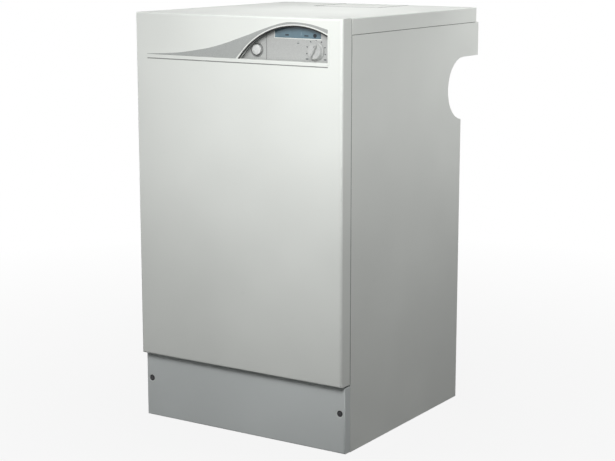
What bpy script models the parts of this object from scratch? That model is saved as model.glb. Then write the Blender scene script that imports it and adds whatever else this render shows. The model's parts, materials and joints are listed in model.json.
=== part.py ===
"""Floor standing gas boiler: a sheet steel cabinet with a lift-off door, lid and plinth round a condensing
heat exchanger, its premix fan, gas train, controls and flue. Metres, +Z up, the front faces -Y, the origin
is on the floor under the middle of the box."""

from math import atan2, cos, pi, sin, sqrt, tau

import bmesh
import bpy
from mathutils import Matrix, Vector

# Cabinet
CASE_WIDTH = 0.490
CASE_HEIGHT = 0.850
SIDE_DEPTH = 0.525
LOWER_DEPTH = 0.449
LID_DEPTH = 0.514
DOOR_STAND = 0.036
TRIM_PROUD = 0.001
SHEET = 0.0012
FIT_GAP = 0.0003
JOINT_GAP = 0.001
FLOOR_GAP = 0.001
OVERRUN = 0.005

# Side panels
SKIRT_HEIGHT = 0.031
SIDE_FLANGE = 0.015
CUTOUT_RADIUS = 0.066
CUTOUT_CENTRE_DEPTH = 0.455
FLUE_DROP = 0.168
CUTOUT_STEPS = 14

# Lid and flue cover
NOTCH_WIDTH = 0.166
NOTCH_DEPTH_START = 0.375
LEDGE = 0.010
LID_EDGE_RADIUS = 0.002
COVER_PROUD_GAP = 0.0015

# Door
DOOR_BOTTOM = 0.140
DOOR_REVEAL = 0.003
DOOR_EDGE_RADIUS = 0.005
DOOR_RETURN = 0.0095
STUD_RADIUS = 0.003
STUD_LENGTH = 0.014
STUD_CLEARANCE = 0.0006
STUD_INSET = 0.005
CATCH_WIDTH = 0.015
CATCH_HEIGHT = 0.018
CATCH_LENGTH = 0.008
UPPER_STUD_DROP = 0.135
LOWER_STUD_HEIGHT = 0.180

# Opening in the door, measured from the cabinet's left face and down from its top
OPENING_RIGHT = 0.458
OPENING_DROP = 0.083
ARCH_RADIUS = 0.1655
ARCH_CENTRE_FROM_LEFT = 0.386
ARCH_DROP = 0.015
ARCH_STEPS = 16
RIM_WIDTH = 0.004
LIP_WALL = 0.0015
BEAD_LEFT = 0.029
BEAD_HEIGHT = 0.007
BEZEL_LIP = 0.012
GROOVE_HEIGHT = 0.002
GROOVE_DEPTH = 0.0006

# Silver sweep on the door: shares of its length and height along its upper edge
SWEEP_HEIGHT = 0.074
SWEEP_THICKNESS = 0.0006
SWEEP_STEPS = 3
SWEEP_SHARES = (
    (0, 0.01), (0.163, 0.065), (0.284, 0.165), (0.403, 0.304), (0.576, 0.622),
    (0.634, 0.743), (0.746, 0.945), (0.8135, 1), (0.911, 0.959), (1, 0.838),
)

# Fascia behind the opening
FASCIA_SETBACK = 0.016
FASCIA_LEFT = 0.232
FASCIA_RIGHT = 0.474
FASCIA_SEAM = 0.309
FASCIA_FOOT_DROP = 0.098
FASCIA_DROP = 0.011
FASCIA_WALL = 0.0025
FASCIA_EDGE = 0.0008
DISPLAY_LEFT = 0.3285
DISPLAY_RIGHT = 0.4325
DISPLAY_DROP = 0.04
DISPLAY_HEIGHT = 0.026
DISPLAY_THICKNESS = 0.002

# Thermostat knob
KNOB_FROM_LEFT = 0.422
KNOB_DROP = 0.063
KNOB_RADIUS = 0.0165
KNOB_LENGTH = 0.013
KNOB_TAPER = 0.002
KNOB_SKIRT_RADIUS = 0.018
KNOB_SKIRT = 0.002
KNOB_GRIP_WIDTH = 0.004
KNOB_GRIP_HEIGHT = 0.003
KNOB_RUNNING_GAP = 0.0006
KNOB_REST_ANGLE = 27 * pi / 180
SPINDLE_RADIUS = 0.003
SPINDLE_CLEARANCE = 0.0005
SPINDLE_ENGAGED = 0.008
THERMOSTAT_SIDE = 0.022
THERMOSTAT_LENGTH = 0.011

# Push button
BUTTON_FROM_LEFT = 0.2867
BUTTON_DROP = 0.065
BUTTON_RADIUS = 0.010
BUTTON_RING_RADIUS = 0.0145
BUTTON_RING_PROUD = 0.0015
BUTTON_CLEARANCE = 0.0005
BUTTON_DOME = 0.003
BUTTON_BODY = 0.008
BUTTON_TRAVEL = 0.0025
BUTTON_STEM_RADIUS = 0.0025
BUTTON_STEM_ENGAGED = 0.002
SLEEVE_WALL = 0.0015
SWITCH_SIDE = 0.025
SWITCH_LENGTH = 0.008

# Control box
BOX_LEFT = 0.236
BOX_RIGHT = 0.470
BOX_DROP = 0.094
BOX_DEPTH = 0.110
BOX_WALL = 0.002
BOARD_THICKNESS = 0.0016
TRANSFORMER_HEIGHT = 0.024
RELAY_HEIGHT = 0.014
TERMINAL_HEIGHT = 0.012
COMPONENT_SHARES = {
    "transformer": ((0.08, 0.12), (0.36, 0.5)),
    "relay": ((0.46, 0.12), (0.58, 0.42)),
    "second_relay": ((0.66, 0.12), (0.78, 0.42)),
    "terminal_strip": ((0.14, 0.72), (0.88, 0.92)),
}
BOARD_MARGIN = 0.008
BOARD_PILLAR = 0.007
BOARD_PILLAR_RADIUS = 0.003

# Chassis
TRAY_HEIGHT = 0.040
TRAY_SHEET = 0.0015
TRAY_FLANGE = 0.025
BACK_PANEL_DEPTH = 0.376
BACK_FLANGE = 0.014
RAIL_WIDTH = 0.030
FOOT_PAD_RADIUS = 0.020
FOOT_PAD_HEIGHT = 0.008
FOOT_STUD_RADIUS = 0.005
FOOT_STUD_TOP = 0.056
FOOT_NUT_RADIUS = 0.010
FOOT_NUT_HEIGHT = 0.007
FOOT_INSET = 0.045
FOOT_CLEARANCE = 0.0006

# Plinth
PLINTH_STAND = 0.021
PLINTH_TOP = 0.136
PLINTH_RETURN_GAP = 0.001
PLINTH_RADIUS = 0.003
PLINTH_SCREW_INSET = 0.0125
PLINTH_SCREW_HEIGHT = 0.083
DIMPLE_RADIUS = 0.009
DIMPLE_DEPTH = 0.0025
SCREW_HEAD_RADIUS = 0.0042
SCREW_HEAD_HEIGHT = 0.0022
SCREW_RADIUS = 0.002
SCREW_CLEARANCE = 0.0005
SCREW_PAST = 0.008

# Heat exchanger, its stand and burner
EXCHANGER_WIDTH = 0.220
EXCHANGER_START = 0.090
EXCHANGER_DEPTH = 0.190
EXCHANGER_BOTTOM = 0.300
EXCHANGER_DROP = 0.260
EXCHANGER_CORNER = 0.018
EXCHANGER_FLANGE = 0.012
EXCHANGER_FLANGE_PROUD = 0.010
FIN_COUNT = 10
FIN_DEPTH = 0.009
FIN_SHARE = 0.38
FIN_ZONE_DROP = 0.070
CHAMBER_WALL = 0.020
CHAMBER_DROP = 0.120
STAND_SHEET = 0.003
BURNER_PLATE = 0.012
BURNER_RADIUS = 0.035
BURNER_LENGTH = 0.085
BURNER_FLANGE = 0.006
BURNER_FLANGE_PROUD = 0.008
PORT_RADIUS = 0.004
SIGHT_RADIUS = 0.013
SIGHT_LENGTH = 0.010
ELECTRODE_RADIUS = 0.0045
ELECTRODE_CLEARANCE = 0.0004
ELECTRODE_OUTSIDE = 0.026
ELECTRODE_INSIDE = 0.012
ELECTRODE_TIP = 0.0015
ELECTRODE_TIP_LENGTH = 0.022
ELECTRODE_COLLAR = 0.008
ELECTRODE_COLLAR_LENGTH = 0.006
ELECTRODE_PITCH = 0.034
PORT_DROP = 0.034
THERMISTOR_OFFSET = 0.078
THERMISTOR_RADIUS = 0.007
THERMISTOR_LENGTH = 0.020
THERMISTOR_POCKET = 0.012

# Fan, venturi and gas train
FAN_OFFSET = -0.075
FAN_RISE = 0.110
FAN_START = 0.112
FAN_DEPTH = 0.046
FAN_WALL = 0.003
SCROLL_START_RADIUS = 0.062
SCROLL_GROWTH = 0.016
SCROLL_STEPS = 28
FAN_OUTLET_WIDTH = 0.040
FAN_FOOT = 0.006
FAN_FOOT_PROUD = 0.008
EYE_RADIUS = 0.028
IMPELLER_RADIUS = 0.052
IMPELLER_INNER = 0.034
IMPELLER_PLATE = 0.003
IMPELLER_GAP = 0.005
BLADE_COUNT = 18
BLADE_THICKNESS = 0.0022
BLADE_SWEEP = 0.30
HUB_RADIUS = 0.012
SHAFT_RADIUS = 0.004
SHAFT_CLEARANCE = 0.0005
SHAFT_LENGTH = 0.016
MOTOR_RADIUS = 0.040
MOTOR_LENGTH = 0.042
MOTOR_FLANGE = 0.004
MOTOR_STEP = 0.006
VENTURI_LENGTH = 0.070
VENTURI_FLANGE = 0.005
VENTURI_FLANGE_PROUD = 0.007
VENTURI_MOUTH = 0.026
VENTURI_THROAT = 0.015
VENTURI_WALL = 0.006
VENTURI_BOSS_RADIUS = 0.011
VENTURI_BOSS_REACH = 0.012
MIX_RADIUS = 0.008
PIPE_WALL = 0.001
GAS_VALVE_INSET = 0.080
GAS_VALVE_WIDTH = 0.056
GAS_VALVE_DEPTH = 0.062
GAS_VALVE_HEIGHT = 0.060
SOLENOID_RADIUS = 0.014
SOLENOID_HEIGHT = 0.034
VALVE_FLANGE_RADIUS = 0.019
VALVE_FLANGE = 0.008
GAS_RADIUS = 0.011
GAS_BEND = 0.030
GAS_PIPE_HEIGHT = 0.125
COCK_START = 0.285
COCK_LENGTH = 0.050
COCK_RADIUS = 0.016
COCK_NECK_RADIUS = 0.011
COCK_NECK_HEIGHT = 0.024
LEVER_STEM_RADIUS = 0.005
LEVER_STEM_DEPTH = 0.012
LEVER_STEM_CLEARANCE = 0.0005
LEVER_LENGTH = 0.055
LEVER_WIDTH = 0.014
LEVER_THICKNESS = 0.004
LEVER_HUB_RADIUS = 0.010
STUB_REACH = 0.054

# Flue, condensate and water side
SUMP_HEIGHT = 0.083
SUMP_FOOT_SHARE = 0.55
SUMP_WALL = 0.004
SUMP_OUTLET_BOTTOM = 0.238
SUMP_OUTLET_HEIGHT = 0.050
SUMP_OUTLET_WIDTH = 0.080
TRAP_OFFSET = -0.040
TRAP_DEPTH = 0.165
TRAP_RADIUS = 0.032
TRAP_CAP_RADIUS = 0.036
TRAP_CAP = 0.018
TRAP_HEIGHT = 0.118
TRAP_NECK_RADIUS = 0.014
TRAP_NECK = 0.012
TRAP_OUTLET_HEIGHT = 0.178
TRAP_OUTLET_RADIUS = 0.015
TRAP_OUTLET_REACH = 0.012
CONDENSATE_RADIUS = 0.011
CONDENSATE_WALL = 0.0025
RISER_START = 0.294
RISER_DEPTH = 0.060
RISER_WIDTH = 0.120
RISER_BOTTOM = 0.226
RISER_ABOVE_FLUE = 0.063
RISER_CORNER = 0.014
RISER_WALL = 0.003
FLUE_INNER_RADIUS = 0.040
FLUE_OUTER_RADIUS = 0.0625
COLLAR_WALL = 0.004
COLLAR_FLANGE_PROUD = 0.014
COLLAR_FLANGE = 0.003
COLLAR_REACH = 0.040
WATER_OFFSET = 0.096
FLOW_DROP = 0.045
RETURN_HEIGHT = 0.345
WATER_RADIUS = 0.014
WATER_WALL = 0.0015
UNION_RADIUS = 0.021
UNION_LENGTH = 0.024
HOLE_CLEARANCE = 0.003
DRAIN_OFFSET = -0.075
DRAIN_RADIUS = 0.009
DRAIN_LENGTH = 0.034
DRAIN_HEX_RADIUS = 0.013
DRAIN_HEX_LENGTH = 0.010
DRAIN_BORE = 0.004
DRAIN_SPINDLE_RADIUS = 0.0035
DRAIN_SPINDLE_LENGTH = 0.022
DRAIN_HANDLE_RADIUS = 0.008
DRAIN_HANDLE_LENGTH = 0.008
SPARK_WIDTH = 0.046
SPARK_DEPTH = 0.036
SPARK_HEIGHT = 0.030
SPARK_OFFSET = 0.085
LEAD_RADIUS = 0.0022
LEAD_BOOT = 0.012
GLAND_INSET = 0.055
GLAND_HEIGHT = 0.230
GLAND_RADIUS = 0.012
GLAND_LENGTH = 0.020
GLAND_BORE = 0.005
GLAND_FLANGE = 0.003

# Colours, roughness and metallic values read as finishes
WHITE_PAINT = ((0.80, 0.81, 0.78), 0.35, 0.0)
GREY_PAINT = ((0.52, 0.54, 0.54), 0.4, 0.0)
SILVER_PAINT = ((0.50, 0.51, 0.50), 0.4, 0.3)
WHITE_PLASTIC = ((0.86, 0.87, 0.85), 0.3, 0.0)
BLUE_LENS = ((0.12, 0.2, 0.25), 0.15, 0.0)
BLACK_PLASTIC = ((0.03, 0.03, 0.03), 0.5, 0.0)
ZINC = ((0.55, 0.56, 0.57), 0.35, 0.9)
CAST_METAL = ((0.42, 0.43, 0.44), 0.6, 0.8)
STAINLESS = ((0.62, 0.62, 0.6), 0.3, 1.0)
COPPER = ((0.72, 0.36, 0.2), 0.3, 1.0)
BRASS = ((0.7, 0.53, 0.25), 0.3, 1.0)
CERAMIC = ((0.85, 0.83, 0.78), 0.4, 0.0)
GLASS = ((0.5, 0.6, 0.6), 0.05, 0.0)
CIRCUIT_GREEN = ((0.04, 0.2, 0.09), 0.5, 0.0)
YELLOW_PAINT = ((0.75, 0.55, 0.05), 0.45, 0.0)
GREY_PLASTIC = ((0.3, 0.31, 0.32), 0.5, 0.0)

FRONT = TRIM_PROUD + DOOR_STAND - (TRIM_PROUD + DOOR_STAND + SIDE_DEPTH) / 2
HALF_WIDTH = CASE_WIDTH / 2
INNER_HALF = HALF_WIDTH - SHEET - FIT_GAP
SKIRT_BOTTOM = CASE_HEIGHT - SKIRT_HEIGHT
SIDE_TOP = SKIRT_BOTTOM - JOINT_GAP
LID_UNDERSIDE = CASE_HEIGHT - SHEET
EXCHANGER_TOP = CASE_HEIGHT - EXCHANGER_DROP
CHAMBER_BOTTOM = EXCHANGER_TOP - CHAMBER_DROP
FIN_ZONE_TOP = EXCHANGER_TOP - FIN_ZONE_DROP
FAN_HEIGHT = EXCHANGER_TOP + FAN_RISE
FLOW_HEIGHT = EXCHANGER_TOP - FLOW_DROP
GLAND_OFFSET = GLAND_INSET - HALF_WIDTH
GAS_VALVE_OFFSET = HALF_WIDTH - GAS_VALVE_INSET
OPENING_BOTTOM = CASE_HEIGHT - OPENING_DROP
ARCH_TOP = CASE_HEIGHT - ARCH_DROP
FASCIA_BOTTOM = CASE_HEIGHT - FASCIA_FOOT_DROP
FASCIA_TOP = CASE_HEIGHT - FASCIA_DROP
DISPLAY_BOTTOM = CASE_HEIGHT - DISPLAY_DROP
KNOB_HEIGHT = CASE_HEIGHT - KNOB_DROP
BUTTON_HEIGHT = CASE_HEIGHT - BUTTON_DROP
BOX_BOTTOM = CASE_HEIGHT - BOX_DROP
UPPER_STUD_HEIGHT = CASE_HEIGHT - UPPER_STUD_DROP
FLUE_HEIGHT = CASE_HEIGHT - FLUE_DROP
RISER_TOP = FLUE_HEIGHT + RISER_ABOVE_FLUE
PORT_HEIGHT = EXCHANGER_TOP - PORT_DROP
STUB_END_DEPTH = BACK_PANEL_DEPTH + STUB_REACH
DOOR_FACE = FRONT - DOOR_STAND
DOOR_BACK = FRONT - DOOR_REVEAL
FASCIA_FACE = DOOR_FACE + FASCIA_SETBACK
TRAY_TOP = TRAY_HEIGHT + TRAY_SHEET
ALONG_X, ALONG_Y, ALONG_Z = "X", "Y", "Z"
ROUND_SIDES = 20
SMALL_SIDES = 12

parts = bpy.data.collections.new("floor_standing_gas_boiler")
cutters = bpy.data.collections.new("cutters")


def from_left(distance):
    """World X of a place measured from the cabinet's left outer face."""
    return distance - HALF_WIDTH


def at_depth(distance):
    """World Y of a place measured back from the cabinet's front edge."""
    return FRONT + distance


def finish_material(name, finish):
    colour, roughness, metallic = finish
    material = bpy.data.materials.new(name)
    material.use_nodes = True
    shader = material.node_tree.nodes["Principled BSDF"]
    shader.inputs["Base Color"].default_value = (*colour, 1)
    shader.inputs["Roughness"].default_value = roughness
    shader.inputs["Metallic"].default_value = metallic
    material.diffuse_color = (*colour, 1)
    return material


def place(name, data, finish=None, location=(0, 0, 0)):
    """A named object: a part where it has a finish, a cutter or a joined shape where it has none."""
    obj = bpy.data.objects.new(name, data)
    obj.location = location
    if finish is None:
        cutters.objects.link(obj)
        obj.hide_render = True
        obj.display_type = "WIRE"
    else:
        parts.objects.link(obj)
        data.materials.append(finish_material(name, finish))
    return obj


def mesh_from(name, build):
    """A mesh filled by build(bm), with its faces turned outwards."""
    bm = bmesh.new()
    build(bm)
    bmesh.ops.recalc_face_normals(bm, faces=bm.faces)
    mesh = bpy.data.meshes.new(name)
    bm.to_mesh(mesh)
    bm.free()
    return mesh


def box(name, low, high, finish=None, bevel=0, segments=2):
    """A block between two corners, its edges rounded where bevel is given."""
    low, high = Vector(low), Vector(high)

    def build(bm):
        bmesh.ops.create_cube(bm, size=1)
        bmesh.ops.scale(bm, vec=high - low, verts=bm.verts)

    obj = place(name, mesh_from(name, build), finish, (low + high) / 2)
    if bevel:
        round_edges(obj, bevel, segments)
    return obj


def round_edges(obj, width, segments=2):
    bevel = obj.modifiers.new("Round edges", "BEVEL")
    bevel.width = width
    bevel.segments = segments
    bevel.limit_method = "ANGLE"
    return bevel


def turned_to(axis):
    """The rotation that lays a shape made along Z along the given axis."""
    if axis == ALONG_X:
        return Matrix.Rotation(pi / 2, 4, "Y")
    if axis == ALONG_Y:
        return Matrix.Rotation(-pi / 2, 4, "X")
    return Matrix.Identity(4)


def cylinder(name, radius, start, length, axis, finish=None, sides=ROUND_SIDES):
    """A round bar whose first end is centred on start and which runs along the positive axis."""

    def build(bm):
        bmesh.ops.create_cone(bm, cap_ends=True, segments=sides, radius1=radius, radius2=radius, depth=length)
        bmesh.ops.translate(bm, vec=(0, 0, length / 2), verts=bm.verts)
        bmesh.ops.transform(bm, matrix=turned_to(axis), verts=bm.verts)

    obj = place(name, mesh_from(name, build), finish, start)
    smooth(obj)
    return obj


def turned(name, profile, start, axis, finish=None, sides=ROUND_SIDES):
    """A turned piece: profile holds (radius, distance along the axis) corners of its closed section."""
    bm = bmesh.new()
    corners = [bm.verts.new((radius, 0, along)) for radius, along in profile]
    for first, second in zip(corners, corners[1:] + corners[:1]):
        if first.co.x > 0 or second.co.x > 0:
            bm.edges.new((first, second))
    geometry = bm.verts[:] + bm.edges[:]
    bmesh.ops.spin(bm, geom=geometry, cent=(0, 0, 0), axis=(0, 0, 1), angle=tau, steps=sides, use_merge=True)
    bmesh.ops.remove_doubles(bm, verts=bm.verts, dist=FIT_GAP / 10)
    bmesh.ops.dissolve_degenerate(bm, dist=FIT_GAP / 100, edges=bm.edges)
    bmesh.ops.transform(bm, matrix=turned_to(axis), verts=bm.verts)
    bmesh.ops.recalc_face_normals(bm, faces=bm.faces)
    mesh = bpy.data.meshes.new(name)
    bm.to_mesh(mesh)
    bm.free()
    obj = place(name, mesh, finish, start)
    smooth(obj)
    return obj


def smooth(obj):
    obj.data.shade_smooth()
    obj.data.set_sharp_from_angle(angle=pi / 6)


def prism(name, outline, start, end, axis, finish=None):
    """A flat outline pushed from start to end along an axis. On X the outline holds (Y, Z), on Y (X, Z)."""
    orders = {ALONG_X: lambda a, b, along: (along, a, b), ALONG_Y: lambda a, b, along: (a, along, b)}
    order = orders.get(axis, lambda a, b, along: (a, b, along))

    def build(bm):
        face = bm.faces.new([bm.verts.new(order(a, b, start)) for a, b in outline])
        pushed = bmesh.ops.extrude_face_region(bm, geom=[face])["geom"]
        moved = [vert for vert in pushed if isinstance(vert, bmesh.types.BMVert)]
        bmesh.ops.translate(bm, vec=order(0, 0, end - start), verts=moved)

    return place(name, mesh_from(name, build), finish)


def stacked(name, sections, finish=None):
    """A solid through level outlines with the same number of points: sections holds (height, outline)."""

    def build(bm):
        rings = [[bm.verts.new((x, y, height)) for x, y in outline] for height, outline in sections]
        for lower, upper in zip(rings, rings[1:]):
            for i, corner in enumerate(lower):
                following = (i + 1) % len(lower)
                bm.faces.new((corner, lower[following], upper[following], upper[i]))
        bm.faces.new(rings[0])
        bm.faces.new(rings[-1])

    return place(name, mesh_from(name, build), finish)


def rounded_outline(low, high, radius, steps=3):
    """Points round a rectangle whose corners are arcs."""
    points = []
    centres = ((high[0], high[1]), (low[0], high[1]), (low[0], low[1]), (high[0], low[1]))
    inward = ((-1, -1), (1, -1), (1, 1), (-1, 1))
    for quarter, ((x, y), (across, along)) in enumerate(zip(centres, inward)):
        for step in range(steps + 1):
            angle = (quarter + step / steps) * pi / 2
            points.append((x + across * radius + radius * cos(angle), y + along * radius + radius * sin(angle)))
    return points


def boolean(obj, other, operation):
    modifier = obj.modifiers.new(other.name, "BOOLEAN")
    modifier.operation = operation
    modifier.solver = "EXACT"
    modifier.object = other


def cut(obj, *others):
    for other in others:
        boolean(obj, other, "DIFFERENCE")
    return obj


def join(obj, *others):
    for other in others:
        boolean(obj, other, "UNION")
    return obj


def fold(obj, thickness=SHEET, offset=0):
    """Gives an open surface the thickness of its sheet."""
    solid = obj.modifiers.new("Sheet", "SOLIDIFY")
    solid.thickness = thickness
    solid.offset = offset
    solid.use_even_offset = True
    return obj


def settled(obj):
    """A mesh object that holds a curve's evaluated shape, with its loose caps welded."""
    bpy.context.view_layer.update()
    graph = bpy.context.evaluated_depsgraph_get()
    mesh = bpy.data.meshes.new_from_object(obj.evaluated_get(graph))
    bm = bmesh.new()
    bm.from_mesh(mesh)
    bmesh.ops.remove_doubles(bm, verts=bm.verts, dist=FIT_GAP / 10)
    bmesh.ops.recalc_face_normals(bm, faces=bm.faces)
    bm.to_mesh(mesh)
    bm.free()
    made = bpy.data.objects.new(obj.name, mesh)
    made.matrix_world = obj.matrix_world
    for collection in obj.users_collection:
        collection.objects.link(made)
    made.hide_render = obj.hide_render
    made.display_type = obj.display_type
    name = obj.name
    bpy.data.objects.remove(obj)
    made.name = name
    smooth(made)
    return made


def tube(name, points, radius, finish=None, resolution=3):
    """A round bar along a line of points, with filled ends."""
    curve = bpy.data.curves.new(name, "CURVE")
    curve.dimensions = "3D"
    curve.bevel_depth = radius
    curve.bevel_resolution = resolution
    curve.use_fill_caps = True
    spline = curve.splines.new("POLY")
    spline.points.add(len(points) - 1)
    for point, place_along in zip(spline.points, points):
        point.co = (*place_along, 1)
    return settled(place(name, curve, finish))


def bend(corner, before, after, radius, steps=5):
    """Points of the arc that rounds a square corner between two directions."""
    corner, before, after = Vector(corner), Vector(before), Vector(after)
    centre = corner - before * radius + after * radius
    angles = [pi / 2 * step / steps for step in range(steps + 1)]
    return [centre - after * radius * cos(angle) + before * radius * sin(angle) for angle in angles]


def open_shell(name, low, high, open_side, finish, thickness=SHEET, edge=0, lip=0):
    """A folded or moulded tray with the given outer corners. open_side is the direction of its missing wall,
    edge rounds the edges of the wall across from it, and lip turns its free edges inwards."""
    low, high, outward = Vector(low), Vector(high), Vector(open_side)
    middle = (low + high) / 2

    def build(bm):
        bmesh.ops.create_cube(bm, size=1)
        bmesh.ops.scale(bm, vec=high - low, verts=bm.verts)
        bm.normal_update()
        back = min(bm.faces, key=lambda face: face.normal.dot(outward))
        rear = max(bm.faces, key=lambda face: face.normal.dot(outward))
        rounded = list(back.edges)
        rim = list(rear.edges)
        bmesh.ops.delete(bm, geom=[rear], context="FACES_ONLY")
        if lip:
            turned_in = bmesh.ops.extrude_edge_only(bm, edges=rim)["geom"]
            for vert in [item for item in turned_in if isinstance(item, bmesh.types.BMVert)]:
                for i in range(3):
                    if outward[i] == 0:
                        vert.co[i] -= lip if vert.co[i] > 0 else -lip
        if edge:
            bmesh.ops.bevel(bm, geom=rounded, offset=edge, segments=3, profile=0.5, affect="EDGES")

    mesh = mesh_from(name, build)
    face = min(mesh.polygons, key=lambda polygon: Vector(polygon.center).dot(outward))
    if Vector(face.normal).dot(outward) > 0:
        mesh.flip_normals()
    obj = place(name, mesh, finish, middle)
    smooth(obj)
    return fold(obj, thickness, offset=-1)


def smooth_line(points, steps):
    """A flowing line through the points, by Catmull and Rom's rule."""
    line = []
    for i in range(len(points) - 1):
        before, start = Vector(points[max(i - 1, 0)]), Vector(points[i])
        end, after = Vector(points[i + 1]), Vector(points[min(i + 2, len(points) - 1)])
        for step in range(steps):
            t = step / steps
            line.append(
                (
                    2 * start
                    + (end - before) * t
                    + (2 * before - 5 * start + 4 * end - after) * t * t
                    + (3 * start - before - 3 * end + after) * t**3
                )
                / 2
            )
    return [tuple(point) for point in line] + [tuple(points[-1])]


def arch_points(grow):
    """The arch of the door's opening from its left foot to its right end, pushed outwards by grow."""
    radius = ARCH_RADIUS + grow
    centre_height = ARCH_TOP - ARCH_RADIUS
    centre = from_left(ARCH_CENTRE_FROM_LEFT)
    bottom = OPENING_BOTTOM - grow
    right = from_left(OPENING_RIGHT) + grow
    left = centre - sqrt(radius**2 - (bottom - centre_height) ** 2)
    points = []
    for step in range(ARCH_STEPS + 1):
        x = left + (right - left) * step / ARCH_STEPS
        points.append((x, centre_height + sqrt(radius**2 - (x - centre) ** 2)))
    return points


def opening_outline(grow):
    return arch_points(grow) + [(from_left(OPENING_RIGHT) + grow, OPENING_BOTTOM - grow)]


def make_side_panel(name, side):
    outer = side * HALF_WIDTH
    inner = side * (HALF_WIDTH - SHEET)
    lower_rear, upper_rear = at_depth(LOWER_DEPTH), at_depth(SIDE_DEPTH)
    centre = at_depth(CUTOUT_CENTRE_DEPTH)
    meets = FLUE_HEIGHT - sqrt(CUTOUT_RADIUS**2 - (centre - lower_rear) ** 2)
    start = pi + pi / 2 - (centre - lower_rear) / CUTOUT_RADIUS
    outline = [(FRONT, FLOOR_GAP), (lower_rear, FLOOR_GAP), (lower_rear, meets)]
    for step in range(1, CUTOUT_STEPS + 1):
        angle = start + (pi / 2 - start) * step / CUTOUT_STEPS
        outline.append((centre + CUTOUT_RADIUS * cos(angle), FLUE_HEIGHT + CUTOUT_RADIUS * sin(angle)))
    outline += [(upper_rear, FLUE_HEIGHT + CUTOUT_RADIUS), (upper_rear, SIDE_TOP), (FRONT, SIDE_TOP)]
    panel = prism(name, outline, inner, outer, ALONG_X, WHITE_PAINT)
    edge = side * (HALF_WIDTH - SIDE_FLANGE)
    folds = (
        (FRONT, FRONT + SHEET, FLOOR_GAP, SIDE_TOP),
        (FRONT, upper_rear, SIDE_TOP - SHEET, SIDE_TOP),
        (lower_rear - SHEET, lower_rear, FLOOR_GAP, meets),
        (upper_rear - SHEET, upper_rear, FLUE_HEIGHT + CUTOUT_RADIUS, SIDE_TOP),
    )
    middle = side * (HALF_WIDTH - SHEET / 2)
    for number, (front, rear, bottom, top) in enumerate(folds):
        low, high = (min(edge, middle), front, bottom), (max(edge, middle), rear, top)
        join(panel, box(f"{name}_fold_{number}", low, high))
    holes = [(PLINTH_SCREW_INSET, PLINTH_SCREW_HEIGHT, SCREW_RADIUS + SCREW_CLEARANCE)]
    holes += [(STUD_INSET, height, STUD_RADIUS + STUD_CLEARANCE) for height in (LOWER_STUD_HEIGHT, UPPER_STUD_HEIGHT)]
    for number, (inset, height, radius) in enumerate(holes):
        start = (side * (HALF_WIDTH - inset), FRONT - OVERRUN, height)
        cut(panel, cylinder(f"{name}_hole_{number}", radius, start, SHEET + 2 * OVERRUN, ALONG_Y, sides=SMALL_SIDES))


def make_lid():
    rear = at_depth(LID_DEPTH)
    notch_front = at_depth(NOTCH_DEPTH_START)
    half = NOTCH_WIDTH / 2
    low, high = (-HALF_WIDTH, FRONT, SKIRT_BOTTOM), (HALF_WIDTH, rear, CASE_HEIGHT)
    lid = open_shell("top_panel", low, high, (0, 0, -1), WHITE_PAINT, edge=LID_EDGE_RADIUS)
    behind = box(
        "lid_rear_opening",
        (-HALF_WIDTH + SHEET, rear - 2 * SHEET, SKIRT_BOTTOM - OVERRUN),
        (HALF_WIDTH - SHEET, rear + OVERRUN, LID_UNDERSIDE - SHEET),
    )
    ledge_top = LID_UNDERSIDE - FIT_GAP
    ledge = box(
        "cover_ledge",
        (-half - LEDGE, notch_front - 2 * SHEET, ledge_top - SHEET),
        (half + LEDGE, rear - 2 * SHEET, LID_UNDERSIDE + SHEET / 2),
    )
    above = box(
        "cover_recess",
        (-half, notch_front, ledge_top),
        (half, rear + OVERRUN, CASE_HEIGHT + OVERRUN),
    )
    through = box(
        "cover_window",
        (-half + LEDGE, notch_front + LEDGE, ledge_top - SHEET - OVERRUN),
        (half - LEDGE, rear + OVERRUN, CASE_HEIGHT + OVERRUN),
    )
    join(cut(lid, behind), ledge)
    cut(lid, above, through)
    side = half - COVER_PROUD_GAP
    box(
        "flue_cover_plate",
        (-side, notch_front + COVER_PROUD_GAP, LID_UNDERSIDE),
        (side, rear, CASE_HEIGHT),
        WHITE_PAINT,
    )


def make_door():
    low, high = (-HALF_WIDTH, DOOR_FACE, DOOR_BOTTOM), (HALF_WIDTH, DOOR_BACK, CASE_HEIGHT)
    door = open_shell("front_door", low, high, (0, 1, 0), WHITE_PAINT, edge=DOOR_EDGE_RADIUS, lip=DOOR_RETURN)
    hole = opening_outline(LIP_WALL + FIT_GAP)
    opening = prism("door_opening", hole, DOOR_FACE - OVERRUN, DOOR_FACE + OVERRUN, ALONG_Y)
    groove_top = OPENING_BOTTOM - BEAD_HEIGHT
    groove = box(
        "door_groove",
        (from_left(BEAD_LEFT), DOOR_FACE - OVERRUN, groove_top - GROOVE_HEIGHT),
        (from_left(OPENING_RIGHT), DOOR_FACE + GROOVE_DEPTH, groove_top),
    )
    cut(door, opening, groove)
    for side in (-1, 1):
        for height in (LOWER_STUD_HEIGHT, UPPER_STUD_HEIGHT):
            start = (side * (HALF_WIDTH - STUD_INSET), DOOR_BACK - SHEET / 2, height)
            join(door, cylinder("door_stud", STUD_RADIUS, start, STUD_LENGTH, ALONG_Y, sides=SMALL_SIDES))


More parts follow.
